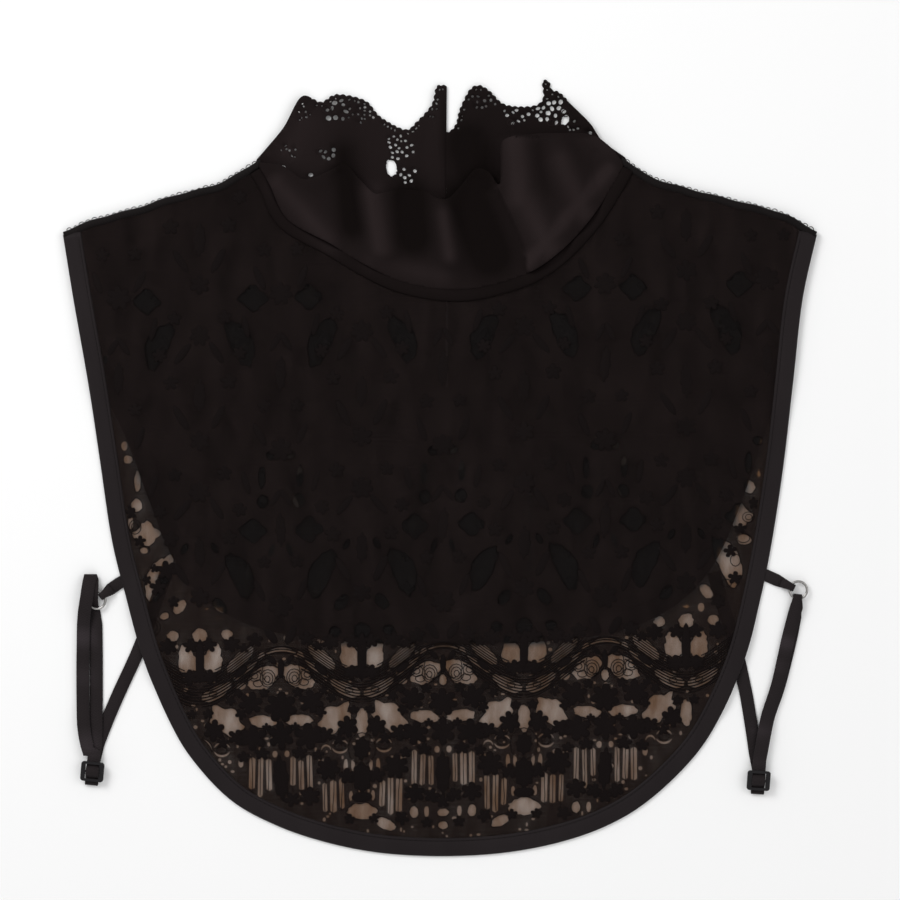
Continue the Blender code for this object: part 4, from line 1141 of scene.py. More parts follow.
runs = [
    (window, RIM_HALF, True) for window in front_windows if min(np.ptp(window, axis=0)) > RIM_FROM
]
for over, half, start, end in WAVE_CORDS:
    for x, side in copies_of(1.0):
        line = x - side + side * np.arange(start, end + 0.1, WAVE_STEP)
        wave = list(zip(line, wave_height(line) + over))
        for run in runs_within(wave, front_outline, CORD_MARGIN):
            runs.append((run, half, False))
for across, y, wide, high in ROSETTE_RINGS:
    for x, side in copies_of(across):
        ring = ring_line(x, slanted(x, y), wide, high)
        if inside(ring, [front_outline]).all():
            runs.append((ring, RING_HALF, True))
runs += [(ring_line(*ring), RING_HALF, True) for ring in SIDE_RINGS]
for across, y, length in THREAD_SLOTS:
    for x, side in copies_of(across):
        here = slanted(x, y)
        lean = HAND.uniform(-0.5, 0.5)
        thread = [
            (x + HAND.uniform(-0.3, 0.3) + lean * share, here + length * share)
            for share in THREAD_SHARES
        ]
        if inside(thread, [front_outline]).all():
            runs.append((thread, THREAD_HALF, False))
front_cords = lay_cords("front_cords", runs, on_front(CORD_LEVEL), RAISED)
print("cords", len(runs))

# %% [markdown]
# ## The back
#
# The back is cut from the same lace with the pattern lying elsewhere, so its flowers and windows
# don't sit right under those of the front. Its neck opens down the middle in a narrow slit.

# %% The back's lace and net
BACK_SLIT_X = 3.4
BACK_SLIT_HALF = 0.6
BACK_SLIT_END = 41.0
BACK_NECK_TUCK = 0.3
BACK_WEB = 0.7
BACK_LACE_FOLDS, BACK_NET_FOLDS = 12.0, 24.0
back_outline = panel_outline(BACK_PATH, BACK_NECK, BACK_NECK_TUCK)
neck_part = [
    number for number, (x, y) in enumerate(back_outline)
    if abs(x - BACK_SLIT_X) < SEAM_STEP and y > BACK_SLIT_END
]
slit_at = neck_part[0]
slit_top = back_outline[slit_at][1]
slit = [
    (BACK_SLIT_X + side * BACK_SLIT_HALF, y)
    for side, y in ((1, slit_top), (1, BACK_SLIT_END), (-1, BACK_SLIT_END), (-1, slit_top))
]
back_outline = [*back_outline[:slit_at], *slit, *back_outline[neck_part[-1] + 1:]]
wanted = repeated_windows(upper_windows, rise=BACK_FIELD_RISE, shift=BACK_FIELD_SHIFT)
back_windows = windows_within(back_outline, wanted, LACE_MARGIN, BACK_WEB)
bm = cut_cloth(back_outline, back_windows, on_table(LACE_LEVEL), BACK_LACE_FOLDS)
back_area = flat_area(bm)
back_lace = present("back_lace", bm, STITCHED, ["back_panel"])
bm = cut_cloth(back_outline, [], on_table(NET_LEVEL), BACK_NET_FOLDS)
back_net_area = flat_area(bm)
back_net = present("back_net", bm, NET)
bm = place_forms(field_forms, back_outline, on_table(FORM_LEVEL), shift=BACK_FIELD_SHIFT)
back_flowers = present("back_flowers", bm, RAISED)
print("back windows", len(back_windows), "lace", round(back_area, 4), "square metres")

# %% [markdown]
# ## Bands
#
# The bindings, the seams and the elastics are all bands: one section carried along a path. A grid
# is made with one row to each point of the section and one column to each station, its points move
# to the band's places, and its first and last rows are welded. The grid's map then runs across and
# along the band in metres, which is what the woven finishes read.

# %% Helpers for bands
BINDING_SECTION = (
    (-0.50, 0.10), (-0.47, 0), (0.47, 0), (0.50, 0.10), (0.50, 0.55), (0.46, 0.90), (0.40, 0.97),
    (0.34, 0.84), (0.27, 0.98), (0.10, 1), (-0.20, 1), (-0.42, 0.92), (-0.50, 0.60),
)
ROLL_CORNERS = 14
ROLL_ANGLES = [math.tau * k / ROLL_CORNERS for k in range(ROLL_CORNERS)]
ROLL_SECTION = [(0.5 * math.cos(a), 0.5 + 0.5 * math.sin(a)) for a in ROLL_ANGLES]


def band_through(rings):
    """A closed band through rings of points that run alike, with a map across and along it."""
    rings = np.array(rings)
    many, around = rings.shape[:2]
    reach = length_along(rings.mean(axis=1))
    across = length_along(np.vstack([rings[0], rings[0][:1]]))
    bm = bmesh.new()
    bmesh.ops.create_grid(bm, x_segments=many - 1, y_segments=around, size=1.0)
    along = bm.loops.layers.uv.new("along")
    for vertex in bm.verts:
        station = round((vertex.co.x + 1) / 2 * (many - 1))
        place = round((vertex.co.y + 1) / 2 * around)
        for corner in vertex.link_loops:
            corner[along].uv = (across[place] * MM, reach[station] * MM)
        vertex.co = Vector(rings[station][place % around]) * MM
    bmesh.ops.remove_doubles(bm, verts=bm.verts, dist=MERGE)
    bmesh.ops.holes_fill(bm, edges=[edge for edge in bm.edges if edge.is_boundary], sides=0)
    bmesh.ops.recalc_face_normals(bm, faces=bm.faces)
    return bm


def laid_band(path, width, height, level, section):
    """A band along a path, with the height of its underside from the level."""
    path = np.array(path)
    normals = left_normals(path)
    count = len(section)
    places = [
        point + normal * share * width
        for point, normal in zip(path, normals)
        for share, _ in section
    ]
    levels = level(places)
    rings = []
    for first in range(0, len(places), count):
        rings.append([
            (*places[first + row], levels[first + row] + rise * height)
            for row, (_, rise) in enumerate(section)
        ])
    return band_through(rings)


# %% The bindings
BINDING_END = 1.5
BINDING_STEP = 2.5

for name, path, level in (("front", FRONT_PATH, on_front(0.0)), ("back", BACK_PATH, on_table(0.0))):
    middle = evenly(trimmed(moved_left(path, BINDING_WIDTH / 2), BINDING_END), BINDING_STEP)
    bm = laid_band(middle, BINDING_WIDTH, BINDING_THICK, level, BINDING_SECTION)
    present(f"{name}_binding", bm, SATIN, [f"binding_{name}"])
    print(name, "binding", round(length_along(middle)[-1]), "mm")

# %% The stitches of the front's binding
STITCH_EVERY = 2.6
STITCH_LENGTH = 1.7
STITCH_HALF = 0.13
STITCH_IN = BINDING_WIDTH * 0.84
STITCH_END = 5.0
STITCH_LEVEL = BINDING_THICK * 0.88
line = evenly(trimmed(moved_left(FRONT_PATH, STITCH_IN), STITCH_END), STITCH_EVERY)
share = STITCH_LENGTH / STITCH_EVERY
runs = [
    ([here, here + (there - here) * share], STITCH_HALF, False)
    for here, there in zip(line[:-1], line[1:])
]
stitches = lay_cords("binding_stitches", runs, on_front(STITCH_LEVEL), OVERLOCK)

# %% [markdown]
# ## Shoulder seams
#
# The shoulders close in a narrow rolled seam with the small loops of the lace's own edge along it.

# %% The shoulder seams and their picots
SHOULDER_WIDTH = 4.0
SHOULDER_HEIGHT = 3.6
SHOULDER_STEP = 2.5
# The seam's slight waver: how far to each side, and how fast along the seam.
WAVER, WAVER_LENGTH = 0.25, 3.1
PICOT_EVERY = 3.4
PICOT_STEPS = 8
PICOT_HALF = 0.20
PICOT_LEVEL = 1.6
# The seams reach a little under the collar's ends.
SHOULDERS = {
    "left": [(-90.0, 154.7), *LEFT_SHOULDER[::-1]],
    "right": [*RIGHT_SHOULDER, (91.1, 155.8)],
}


def picot_line(spot, normal, size):
    """A small open loop that starts and ends at the seam."""
    along = np.array([normal[1], -normal[0]])
    angles = [math.pi * k / PICOT_STEPS for k in range(PICOT_STEPS + 1)]
    return [
        spot + along * size * math.cos(a) - normal * (0.9 * size * math.sin(a) - 0.4)
        for a in angles
    ]


runs = []
for side, line in SHOULDERS.items():
    path = np.array(curve_through(line, SHOULDER_STEP))
    uneven = WAVER * np.sin(length_along(path) / WAVER_LENGTH)[:, None] * left_normals(path)
    middle = np.array(moved_left(path, SHOULDER_WIDTH / 2)) + uneven
    bm = laid_band(middle, SHOULDER_WIDTH, SHOULDER_HEIGHT, on_table(0.0), ROLL_SECTION)
    present(
        f"{side}_shoulder", bm, OVERLOCK, [f"shoulder_seam_{side}"]
    )
    spots = evenly(path, PICOT_EVERY)
    for spot, normal in zip(spots[1:-1], left_normals(spots)[1:-1]):
        runs.append((picot_line(spot, normal, HAND.uniform(0.8, 1.5)), PICOT_HALF, False))
picots = lay_cords("shoulder_picots", runs, on_table(PICOT_LEVEL), OVERLOCK)

# %% [markdown]
# ## The collar
#
# The stand-up neck is doubled lace, so it is thicker and almost opaque. It is sewn to a thick
# rolled seam round the neck. Laid flat, its front folds forward over that seam and its two back
# ends stand up behind, where their edge shows the small scallops of the lace. The folds are soft
# ridges and troughs listed one by one, each of its own length, height and width.

# %% The cut of the collar
COLLAR_FRONT_TOP = (
    (90.2, 154.6), (84, 161.5), (75, 167), (60, 167.6), (45, 167), (31.2, 163.5), (30.2, 152),
    (29.6, 141.5), (24, 148.5), (17.5, 149.5), (10.5, 141.5), (4, 135), (-2.5, 135.5),
    (-7.5, 138.5), (-20, 139.5), (-27.5, 138), (-33, 137.5), (-41, 145.5), (-47.5, 152),
    (-56, 148.5), (-67.5, 144.5), (-78, 151), (-90, 153.2),
)
BACK_LEFT_TOP = (
    (3.4, 191.5), (-1.5, 191), (-4, 182), (-11.5, 173.5), (-17.5, 169.5), (-30, 176),
    (-37.5, 184), (-51.5, 187), (-59.5, 183.2), (-69, 186), (-78.5, 170), (-91.5, 154.8),
)
BACK_RIGHT_TOP = (
    (92.5, 155.8), (81, 164), (75, 172.5), (66, 181.5), (60, 187.8), (55.6, 189.6), (54.4, 193.5),
    (51.4, 193.5), (51.6, 185), (46, 181.2), (32.5, 182), (25, 188.5), (20, 191.5), (15, 189.5),
    (10, 179.5), (8.4, 173), (6, 169.4), (3.1, 168),
)
# Ridges and troughs: start x, y, end x, y, height, half width.
COLLAR_RIDGES = (
    (-80, 141.5, -56, 114.5, 3.6, 7.5), (-36.5, 147, -30.5, 109.5, 5.6, 9.5),
    (2, 130, 5, 106, 4.4, 7.5), (38.5, 163, 42, 134.5, 3.6, 10), (42, 134.5, 55, 109.5, 3.6, 10),
    (60, 160, 72, 127, 4, 9.5),
)
COLLAR_TROUGHS = (
    (-50, 146, -43, 116, 1.6, 5), (-15, 138, -13, 112, 1.8, 7), (16, 142, 24, 108, 1.8, 7),
    (49, 160, 55, 132, 0.6, 4), (78, 157, 80, 140, 0.9, 2.6),
)
# The free edge where the collar's right part laps over its middle, and how much higher it lies.
LAP_EDGE = ((30.4, 166.0), (30.2, 144.0), (27.6, 141.0), (35.5, 125.0), (42.0, 109.0), (43.5, 98.0))
LAPPED_PART = [*LAP_EDGE, (120.0, 98.0), (120.0, 166.0)]
LAP_RISE = 2.4
# Painted highlights where the doubled cloth catches the light, and painted shade where it lies deep
# in a fold: start, end, half width, share. A painted highlight right of LAP_X counts on the lapping
# part only, a painted fold shade left of it counts under it only.
LAP_X = 36.0
COLLAR_PAINTED_HIGHLIGHTS = (
    (-81, 141.5, -55, 113.5, 7, 0.50), (-33.5, 137.5, -28.5, 109.5, 6.5, 0.75),
    (1.5, 127, 5, 106, 4.6, 0.55), (-34, 104, 0, 96, 6, 0.35), (37.5, 163, 40, 134.5, 7.5, 0.70),
    (42, 134.5, 55, 109.5, 8, 0.60), (60, 154, 72, 127, 7, 0.55), (84, 149.5, 41, 100, 4.5, 0.75),
    (-70, 172, -76, 160, 10, 0.30), (72, 172, 84, 160, 9, 0.30),
)
COLLAR_PAINTED_SHADE = (
    (-48, 158, -44, 121, 8, 0.45), (-15.5, 138.5, -13.5, 116, 11.5, 0.55),
    (14, 134, 25, 107, 13, 0.66), (14, 163, 19, 143, 10, 0.60), (49.5, 160, 54, 138, 3, 0.12),
)
# The share of painted light on the cloth away from every listed highlight and fold.
PLAIN_SHARE = 0.36
# How much more painted shade the neck's roll and each back end get; below 0 is less.
ROLL_MORE_SHADE = 0.2
END_MORE_SHADE = {"left": -0.12, "right": 0.08}
BACK_RIDGES = (
    (-86, 166, -71, 184, 3, 7), (-50, 182, -58, 150, 1.6, 9), (-1.5, 188, -1.5, 142, 1.8, 4),
    (20, 186, 16, 150, 1.6, 7), (70, 181, 86, 166, 3, 7),
)
COLLAR_REST = 2.3
COLLAR_WALL = 1.2
# The top edge stands a little, and the folds die out towards the collar's two corners.
RIM_RISE, RIM_FALL = 1.6, 12.0
CORNER_X, CORNER_FALL = 94.0, 10.0
# The lap is level for a way beside its free edge, then falls. Its edge is steep but not a wall.
LAP_LEVEL, LAP_FALL, LAP_STEEP = 6.0, 30.0, 0.8


def collar_under(places):
    """Height of the underside of the collar's folded front."""
    places = np.array(places)
    rim = soft_fall(distance_to(places, COLLAR_FRONT_TOP), 0.0, RIM_FALL)
    ends = soft_fall(CORNER_X - np.abs(places[:, 0]), 0.0, CORNER_FALL)
    lift = np.maximum(ridge_height(places, COLLAR_RIDGES), RIM_RISE * rim)
    lift = np.maximum(lift - ridge_height(places, COLLAR_TROUGHS), 0.0)
    return COLLAR_REST + (lift + LAP_RISE * lapped(places)) * (1 - ends)


def lapped(places):
    """1 just inside the lap's free edge, falling softly to the right, and 0 to its left."""
    away = distance_to(places, LAP_EDGE)
    part = inside(places, [LAPPED_PART]) * soft_fall(away, LAP_LEVEL, LAP_FALL)
    return part * np.clip(away / LAP_STEEP, 0, 1)


def mark_painted_fold_shade(bm, more_shade=0.0):
    """Gives each point its painted shade: 0 for a painted highlight, up to 1 deep in a fold."""
    layer = bm.verts.layers.float.new("painted_fold_shade")
    places = np.array([vertex.co[:2] for vertex in bm.verts]) / MM
    lapping = inside(places, [LAPPED_PART])
    tone = 1 - PLAIN_SHARE + more_shade
    for rows, sign, where in ((COLLAR_PAINTED_HIGHLIGHTS, -1, lapping), (COLLAR_PAINTED_SHADE, 1, ~lapping)):
        strongest = np.zeros(len(places))
        for x0, y0, x1, y1, half_width, share in rows:
            part = ridge_height(places, [(x0, y0, x1, y1, share, half_width)])
            if (x0 > LAP_X) == (rows is COLLAR_PAINTED_HIGHLIGHTS):
                part = part * where
            strongest = np.maximum(strongest, part)
        tone = tone + sign * strongest
    for vertex, share in zip(bm.verts, np.clip(tone, 0.0, 1.0)):
        vertex[layer] = share


def walled(bm, wall):
    """Gives a sheet its thickness upwards."""
    raised = bmesh.ops.extrude_face_region(bm, geom=bm.faces[:])["geom"]
    top = [part for part in raised if isinstance(part, bmesh.types.BMVert)]
    bmesh.ops.translate(bm, vec=(0, 0, wall * MM), verts=top)
    bmesh.ops.recalc_face_normals(bm, faces=bm.faces)
    return bm


# %% The neck seam
NECK_WIDTH = 6.0
NECK_HEIGHT = 2.4
NECK_END = 4.0
NECK_UNDER = 0.3
seam_middle = moved_left(curve_through(FRONT_NECK, SEAM_STEP), NECK_WIDTH / 2 - NECK_UNDER)
path = evenly(trimmed(seam_middle, NECK_END), BINDING_STEP)
bm = laid_band(path, NECK_WIDTH, NECK_HEIGHT, on_front(0.0), ROLL_SECTION)
mark_painted_fold_shade(bm, ROLL_MORE_SHADE)
neck_seam = present("neck_roll", bm, COLLAR_CLOTH, ["neck_seam"])

# %% The folded front of the collar
COLLAR_STEP = 1.6
seam = [tuple(p) for p in curve_through(FRONT_NECK, SEAM_STEP)[-2:0:-1]]
top_edge = [tuple(p) for p in evenly(curve_through(COLLAR_FRONT_TOP, 1.0), COLLAR_STEP)]
collar_outline = [*seam, *top_edge]
bm = cut_cloth(collar_outline, [], collar_under, COLLAR_STEP)
collar_front_area = flat_area(bm)
mark_painted_fold_shade(bm)
bm = walled(bm, COLLAR_WALL)
collar_front = present("collar_fold", bm, COLLAR_CLOTH, ["collar_front"])

# %% The two back ends of the collar
# Groups of small windows: x, y, reach across and up, how many, their size, how many have rings.
LEFT_GROUPS = (
    (-52, 179.5, 6, 7.5, 15, 2.2, 3), (-55, 157.6, 5, 4, 7, 1.9, 1), (-39, 179, 8, 6, 11, 1.2, 2),
    (-20, 160.5, 8, 6.5, 13, 1.5, 4), (-15, 147, 5, 4.5, 9, 1.6, 3), (-4, 181, 2.6, 6, 4, 1.1, 0),
    (-68, 178, 4, 6, 4, 0.9, 0), (-76, 158, 5, 5, 3, 1, 0),
)
RIGHT_GROUPS = (
    (55.5, 178.6, 9, 7.5, 24, 2.1, 6), (38, 177, 6.5, 4.5, 9, 1.6, 2), (22, 184, 7, 4, 8, 1.4, 2),
    (75.5, 163.5, 6, 5, 8, 1.5, 2), (66, 171, 4, 4, 4, 1.2, 0),
)
# Single larger windows: x, y, width, height, turn.
LEFT_SINGLE = ((-24.3, 150.6, 5.4, 8.4, 12), (-78.5, 150.6, 3, 2.4, 0), (-64.5, 147, 2.4, 2, 0))
RIGHT_SINGLE = ((62.6, 174.4, 3.6, 5.4, -30), (81, 158.6, 2, 3.4, -30))
SCALLOP_EVERY = 3.1
SCALLOP_DEPTH = 0.8
SCALLOPS_TO = 64.0
# The row of small windows inside the scallops: how far apart, the share kept, how far in.
EDGE_EVERY = 1.9
EDGE_SHARE = 0.6
EDGE_IN = 1.9
END_WALL = COLLAR_WALL * 0.7
END_FOLDS = 4.0
END_MARGIN, END_WEB = 0.7, 0.45


def scalloped(points):
    """The edge with small outward scallops along its upper part."""
    path = evenly(curve_through(points, 0.8), 0.6)
    out = -left_normals(path)
    reach = length_along(path)
    swing = np.abs(np.sin(math.pi * reach / SCALLOP_EVERY + 0.5 * np.sin(reach / 7.0))) - 0.5
    swing *= SCALLOP_DEPTH * (np.abs(path[:, 0]) < SCALLOPS_TO)
    return [tuple(p) for p in path + out * swing[:, None]]


def grouped_windows(groups):
    """Small windows thrown into each group's oval, and the rings worked round some."""
    windows, rings = [], []
    for x, y, across, up, count, size, ring_count in groups:
        for number in range(count * 3):
            angle, reach = HAND.uniform(0, math.tau), math.sqrt(HAND.uniform(0, 1))
            here = (x + across * reach * math.cos(angle), y + up * reach * math.sin(angle))
            wide, high = size * HAND.uniform(0.7, 1.3), size * HAND.uniform(0.7, 1.3)
            windows.append(window_line(*here, wide, high, HAND.uniform(0, 180)))
            if number < ring_count:
                rings.append(ring_line(*here, size * 0.9, size * HAND.uniform(0.7, 1.0), 10))
    return windows, rings


def edge_windows(points):
    """A broken row of small windows just inside the scallops."""
    path = evenly(curve_through(points, 0.8), EDGE_EVERY)
    windows = []
    for spot, normal in zip(path[1:-1], left_normals(path)[1:-1]):
        wide, high = HAND.uniform(0.8, 1.4), HAND.uniform(0.7, 1.1)
        turn, kept = HAND.uniform(0, 180), HAND.uniform()
        if kept < EDGE_SHARE and abs(spot[0]) < SCALLOPS_TO:
            windows.append(window_line(*(spot + EDGE_IN * normal), wide, high, turn))
    return windows


def collar_back_under(places):
    """Height of the underside of the two back ends."""
    return ridge_height(np.array(places), BACK_RIDGES)


def on_collar_back(places):
    return collar_back_under(places) + END_WALL + 0.1


neck = curve_through(BACK_NECK, END_FOLDS)
left_neck = [tuple(p) for p in neck if p[0] < 1.0][::-1]
right_neck = [tuple(p) for p in neck if p[0] > 5.6][::-1]
collar_ends, end_areas, end_cuts = {}, {}, {}
runs = []
for side, start, top, groups, singles in (
    ("left", [*left_neck, (3.0, 133.0)], BACK_LEFT_TOP, LEFT_GROUPS, LEFT_SINGLE),
    ("right", [(3.1, 133.0), *right_neck], BACK_RIGHT_TOP, RIGHT_GROUPS, RIGHT_SINGLE),
):
    outline = [*start, *scalloped(top)]
    wanted, rings = grouped_windows(groups)
    wanted = [window_line(*row) for row in singles] + wanted + edge_windows(top)
    windows = windows_within(outline, wanted, END_MARGIN, END_WEB)
    bm = cut_cloth(outline, windows, collar_back_under, END_FOLDS)
    end_areas[side], end_cuts[side] = flat_area(bm), flat_size(outline)
    mark_painted_fold_shade(bm, END_MORE_SHADE[side])
    bm = walled(bm, END_WALL)
    collar_ends[side] = present(
        f"collar_end_{side}", bm, COLLAR_CLOTH, [f"collar_back_{side}"]
    )
    runs += [(ring, RING_HALF, True) for ring in rings if inside(ring, [outline]).all()]
    print(side, "end of the collar", len(windows), "windows")

end_rings = lay_cords("collar_rings", runs, on_collar_back, COLLAR_CLOTH)

# %% [markdown]
# ## The side straps
#
# Each side has one elastic. Its sewn end wraps the slider, it runs up to the ring, turns round it,
# comes back down through the slider and goes up behind the front to the back's edge. A short tab
# holds the ring at the front's binding. The stations below are where the elastic bends.

# %% Stations of the elastics
ELASTIC_LEVEL = ELASTIC_THICK / 2
LAYER = ELASTIC_THICK + 0.3
WIRE = 0.65
RING_RADIUS = 4.35
BAR_REACH = ELASTIC_THICK / 2 + 0.3 + WIRE
OVER_RING = ELASTIC_LEVEL + 2 * BAR_REACH
LEFT_FOLD_LEVEL = 1.65
STRAPS = {
    "left": {
        "ring": (-171.5, -65.5),
        "tab": ((-156.0, -54.6), (-160.6, -57.2), (-164.8, -60.2)),
        "slider": (-173.5, -151.0),
        "aim": (-0.10, -1.0),
        "tail": LEFT_TAIL,
        "under_leg": ((-172, -137), (-171.8, -122), (-171.8, -98), (-172, -78)),
        "over_leg": ((-178.2, -82), (-178.4, -105), (-177.9, -128), (-175.6, -141)),
    },
    "right": {
        "ring": (179.0, -60.5),
        "tab": ((159.0, -51.6), (163.8, -53.5), (168.5, -55.6)),
        "slider": (159.0, -155.5),
        "aim": (-0.06, -1.0),
        "tail": RIGHT_TAIL,
        "under_leg": ((160.2, -143), (163.8, -125), (169.5, -108), (175, -86), (177.4, -74)),
        "over_leg": ((176.6, -74), (173.6, -86), (168.6, -108), (163.2, -125), (159.9, -143)),
    },
}
# The way through the slider: distance along it past the middle bar, level.
SLIDER_WAY = (
    (-9, 2.85), (-3.8, 2.85), (-2.6, 3.35), (-1.7, 4.45), (-0.8, 5.1), (0, 5.2), (0.9, 5),
    (2.1, 3.3), (3.1, 1.95), (4.3, 1.65), (5.6, 1.65),
)
# The left elastic's way through its ring and back: across and up from the ring, level, width.
LEFT_RING_WAY = (
    (-0.8, -5.4, 0.45, 5), (-1.2, -2.8, 0.50, 4), (-1.2, -1.2, 1.20, 3.8), (-1.2, 0, 1.85, 3.8),
    (-1.2, 1.2, 2.55, 3.8), (-1.3, 2.8, 3.25, 4), (-1.5, 5.4, 3.25, 5.2), (-2.2, 9.5, 1.90, 6.5),
)
LEFT_RING_RETURN = (
    (-3.7, 9, 3.30, 6.5), (-4.3, 4.6, 4.55, 6.5), (-5, 0, 4.55, 6.5), (-6, -6, 3.60, 6.5),
    (-6.6, -12, 1.85, 6.5),
)
LEG_STEP = 3.0
TURN_STEPS = 10
# How far round the slider a leg is raised, and over which length it comes down.
SLIDER_NEAR, SLIDER_FALL = 24.0, 12.0
# How much a ring draws the elastic and the tab in.
RIGHT_PINCH, TAB_PINCH = 4.4, 3.6
# The elastic's section, in half widths and half thicknesses.
ELASTIC_SECTION = (
    (1, 0.5), (0.93, 1), (-0.93, 1), (-1, 0.5), (-1, -0.5), (-0.93, -1), (0.93, -1), (1, -0.5)
)


def unit(vector):
    return np.array(vector, float) / np.linalg.norm(vector)


def turned_over(centre, direction, low, high, width):
    """Stations of an elastic that folds over from one level to another, beyond the centre."""
    radius = (high - low) / 2
    stations = []
    for angle in np.linspace(0.0, math.pi, TURN_STEPS):
        reach = abs(radius) * math.sin(angle)
        level = (low + high) / 2 - radius * math.cos(angle)
        x, y = centre[0] + direction[0] * reach, centre[1] + direction[1] * reach
        stations.append((x, y, level, width))
    return stations


def leg_stations(route, slider, rise):
    """Stations along a leg, raised near the slider where it lies on the tail."""
    stations = []
    for x, y in curve_through(route, LEG_STEP):
        away = np.linalg.norm(np.array((x, y)) - np.array(slider))
        level = ELASTIC_LEVEL + rise + LAYER * float(soft_fall(away, SLIDER_NEAR, SLIDER_FALL))
        stations.append((x, y, level, ELASTIC_WIDTH))
    return stations


def ring_turn(strap, route_end, pinch):
    """Where the elastic folds round the ring's wire: the fold's centre and its direction."""
    ring = np.array(strap["ring"])
    direction = unit(ring - np.array(route_end))
    wire = ring - direction * RING_RADIUS
    hollow = RING_RADIUS - math.sqrt(RING_RADIUS**2 - (pinch / 2) ** 2)
    return wire + direction * hollow, direction


def elastic_stations(side, strap):
    """From the sewn end at the slider up to the ring, back through the slider and away."""
    slider, aim = np.array(strap["slider"]), unit(strap["aim"])
    sewn_level = ELASTIC_LEVEL + LAYER
    stations = [(*(slider + aim * s), sewn_level, ELASTIC_WIDTH) for s in (1.5, -4.0, -9.0)]
    stations += leg_stations(strap["under_leg"], slider, 0.0)
    if side == "left":
        ring_x, ring_y = strap["ring"]
        stations += [(ring_x + x, ring_y + y, z, width) for x, y, z, width in LEFT_RING_WAY]
        fold = (ring_x - 3.0, ring_y + 12.0)
        low, high = LEFT_FOLD_LEVEL, LEFT_FOLD_LEVEL + LAYER
        stations += turned_over(fold, (0.0, 1.0), low, high, ELASTIC_WIDTH)
        stations += [(ring_x + x, ring_y + y, z, width) for x, y, z, width in LEFT_RING_RETURN]
    else:
        centre, direction = ring_turn(strap, strap["under_leg"][-1], RIGHT_PINCH)
        stations += turned_over(centre, direction, ELASTIC_LEVEL, OVER_RING, RIGHT_PINCH)
        stations.append((*(centre - direction * 4.6), ELASTIC_LEVEL + LAYER + 0.7, ELASTIC_WIDTH))
    stations += leg_stations(strap["over_leg"], slider, LAYER)
    stations += [(*(slider + aim * s), level, ELASTIC_WIDTH) for s, level in SLIDER_WAY]
    fold, level = slider + aim * 6.0, SLIDER_WAY[-1][1]
    stations += turned_over(fold, aim, level, ELASTIC_LEVEL, ELASTIC_WIDTH)
    stations += [(*(slider + aim * s), ELASTIC_LEVEL, ELASTIC_WIDTH) for s in (2.0, -5.0)]
    tail = curve_through(strap["tail"], LEG_STEP)
    return stations + [(x, y, ELASTIC_LEVEL, ELASTIC_WIDTH) for x, y in tail]


def tab_stations(strap):
    """The short loop that holds the ring at the front's binding."""
    centre, direction = ring_turn(strap, strap["tab"][-1], TAB_PINCH)
    stations = [(x, y, ELASTIC_LEVEL, 6.0) for x, y in strap["tab"]]
    stations += turned_over(centre, direction, ELASTIC_LEVEL, OVER_RING, TAB_PINCH)
    level = ELASTIC_LEVEL + LAYER
    stations.append((*(centre - direction * 3.2), level + 0.5, 4.6))
    stations.append((*(centre - direction * 5.4), level, 5.2))
    return stations


def ribbon_through(stations):
    """A flat elastic along its stations: x, y, z and width. It stays level across its folds."""
    stations = np.array(stations)
    centre = stations[:, :3]
    along = np.gradient(centre, axis=0)
    along /= np.linalg.norm(along, axis=1)[:, None]
    rings = []
    side = None
    for point, direction, width in zip(centre, along, stations[:, 3]):
        level = direction[:2]
        if np.linalg.norm(level) > 0.3:
            turned = np.array([-level[1], level[0], 0.0]) / np.linalg.norm(level)
            if side is not None and turned @ side < 0:
                turned = -turned
            side = turned
        up = np.cross(side, direction)
        up *= ELASTIC_THICK / 2 / np.linalg.norm(up)
        half = side * width / 2
        rings.append([tuple(point + half * a + up * b) for a, b in ELASTIC_SECTION])
    return band_through(rings)


# %% The elastics and tabs
# Painted highlights where the elastic catches the light: x, y, radius, share.
PAINTED_SHEEN_SPOTS = (
    (-178.4, -84, 9, 0.60), (-177.6, -104, 9, 0.25), (-176.5, -138, 11, 0.45),
    (173.2, -87, 7, 0.60), (170, -98, 6, 0.25), (161.5, -131, 6, 0.45), (159.4, -147, 5, 0.30),
)


def mark_painted_sheen(bm):
    """Gives each point of an elastic its share of the painted highlight."""
    layer = bm.verts.layers.float.new("painted_sheen")
    for vertex in bm.verts:
        shares = [
            share * float(soft_fall(math.dist((x, y), np.array(vertex.co[:2]) / MM), 0.0, radius))
            for x, y, radius, share in PAINTED_SHEEN_SPOTS
        ]
        vertex[layer] = max(shares)


for side, strap in STRAPS.items():
    bm = ribbon_through(elastic_stations(side, strap))
    mark_painted_sheen(bm)
    present(f"elastic_{side}", bm, RIBBED, [f"strap_elastic_{side}"])
    bm = ribbon_through(tab_stations(strap))
    present(f"tab_{side}", bm, RIBBED, [f"strap_tab_{side}"])

# %% [markdown]
# ## Rings and sliders
#
# A ring is a round nickel wire turned into a circle. A slider is a thin lacquered plate with two
# slots, tilted a little by the elastic that is threaded through it.

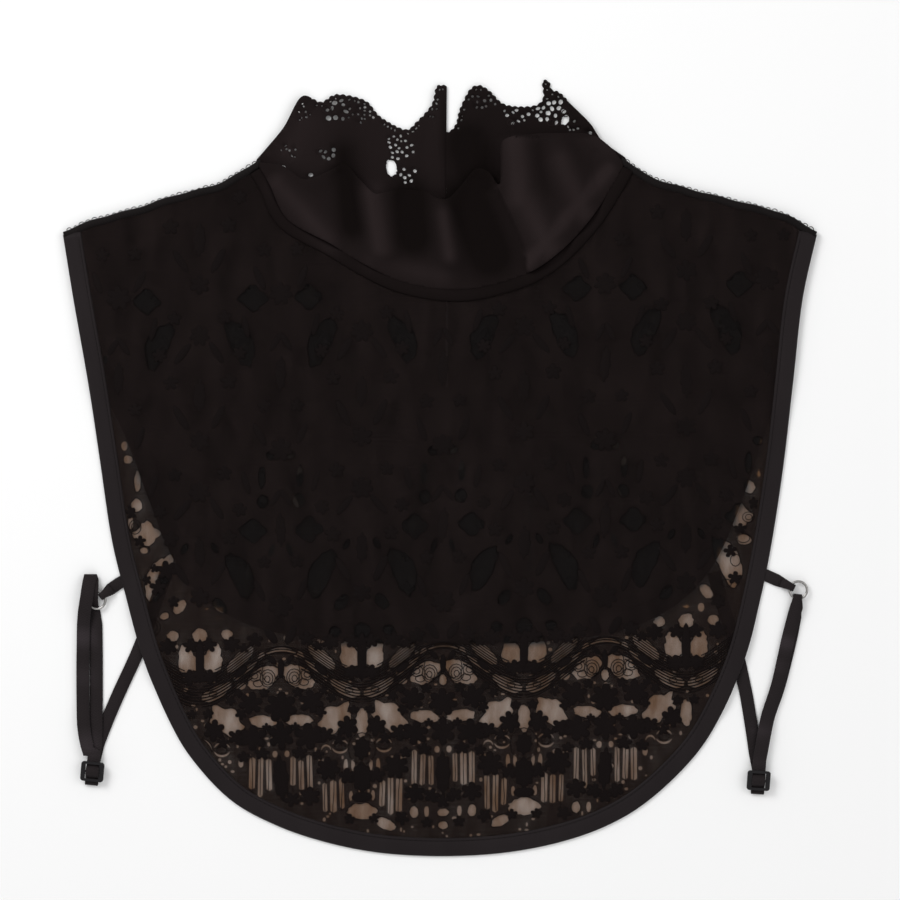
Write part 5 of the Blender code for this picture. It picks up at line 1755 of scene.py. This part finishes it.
# %% Rings and sliders
RING_LEVEL = ELASTIC_LEVEL + BAR_REACH
SLIDER_WIDTH = 11.5
SLIDER_LENGTH = 9.9
SLOT_FAR = 4.3 - WIRE
SLIDER_CORNER = 1.4
SLIDER_LEVEL = 3.0
SLIDER_TILT = 0.14
NO_FOLDS = 50.0
SLOT_HALF = ELASTIC_WIDTH / 2 + 0.3
RING_SECTION, RING_STEPS = 12, 48
# The plate's quarter rounds: which way across, which way along, and the first angle in half turns.
QUARTERS = ((1, 1, 0.0), (-1, 1, 0.5), (-1, -1, 1.0), (1, -1, 1.5))

for side, strap in STRAPS.items():
    bm = bmesh.new()
    bmesh.ops.create_circle(bm, cap_ends=False, segments=RING_SECTION, radius=WIRE * MM)
    turned = Matrix.Translation((RING_RADIUS * MM, 0, 0)) @ Matrix.Rotation(math.pi / 2, 4, "X")
    bmesh.ops.transform(bm, matrix=turned, verts=bm.verts)
    bmesh.ops.spin(
        bm, geom=[*bm.verts, *bm.edges], cent=(0, 0, 0), axis=(0, 0, 1), angle=math.tau,
        steps=RING_STEPS, use_merge=True,
    )
    bmesh.ops.translate(bm, vec=[c * MM for c in (*strap["ring"], RING_LEVEL)], verts=bm.verts)
    bmesh.ops.recalc_face_normals(bm, faces=bm.faces)
    present(f"ring_{side}", bm, METAL, [f"strap_ring_{side}"])

    middle, aim = np.array(strap["slider"]), unit(strap["aim"])
    across = np.array([-aim[1], aim[0]])
    half, end = SLIDER_WIDTH / 2 - SLIDER_CORNER, SLIDER_LENGTH / 2 - SLIDER_CORNER
    plate = []
    for way_x, way_s, start in QUARTERS:
        for angle in np.linspace(0.0, math.pi / 2, 5):
            turn = start * math.pi + angle
            x = way_x * half + SLIDER_CORNER * math.cos(turn)
            s = way_s * end + SLIDER_CORNER * math.sin(turn)
            plate.append(tuple(middle + across * x + aim * s))
    slot = [(-SLOT_HALF, WIRE), (SLOT_HALF, WIRE), (SLOT_HALF, SLOT_FAR), (-SLOT_HALF, SLOT_FAR)]
    slots = [[tuple(middle + across * x + aim * way * s) for x, s in slot] for way in (-1, 1)]

    def tilted(places):
        return SLIDER_LEVEL - SLIDER_TILT * ((np.array(places) - middle) @ aim)

    bm = walled(cut_cloth(plate, slots, tilted, NO_FOLDS), 2 * WIRE)
    present(f"slider_{side}", bm, LACQUER, [f"strap_slider_{side}"], smooth=False)
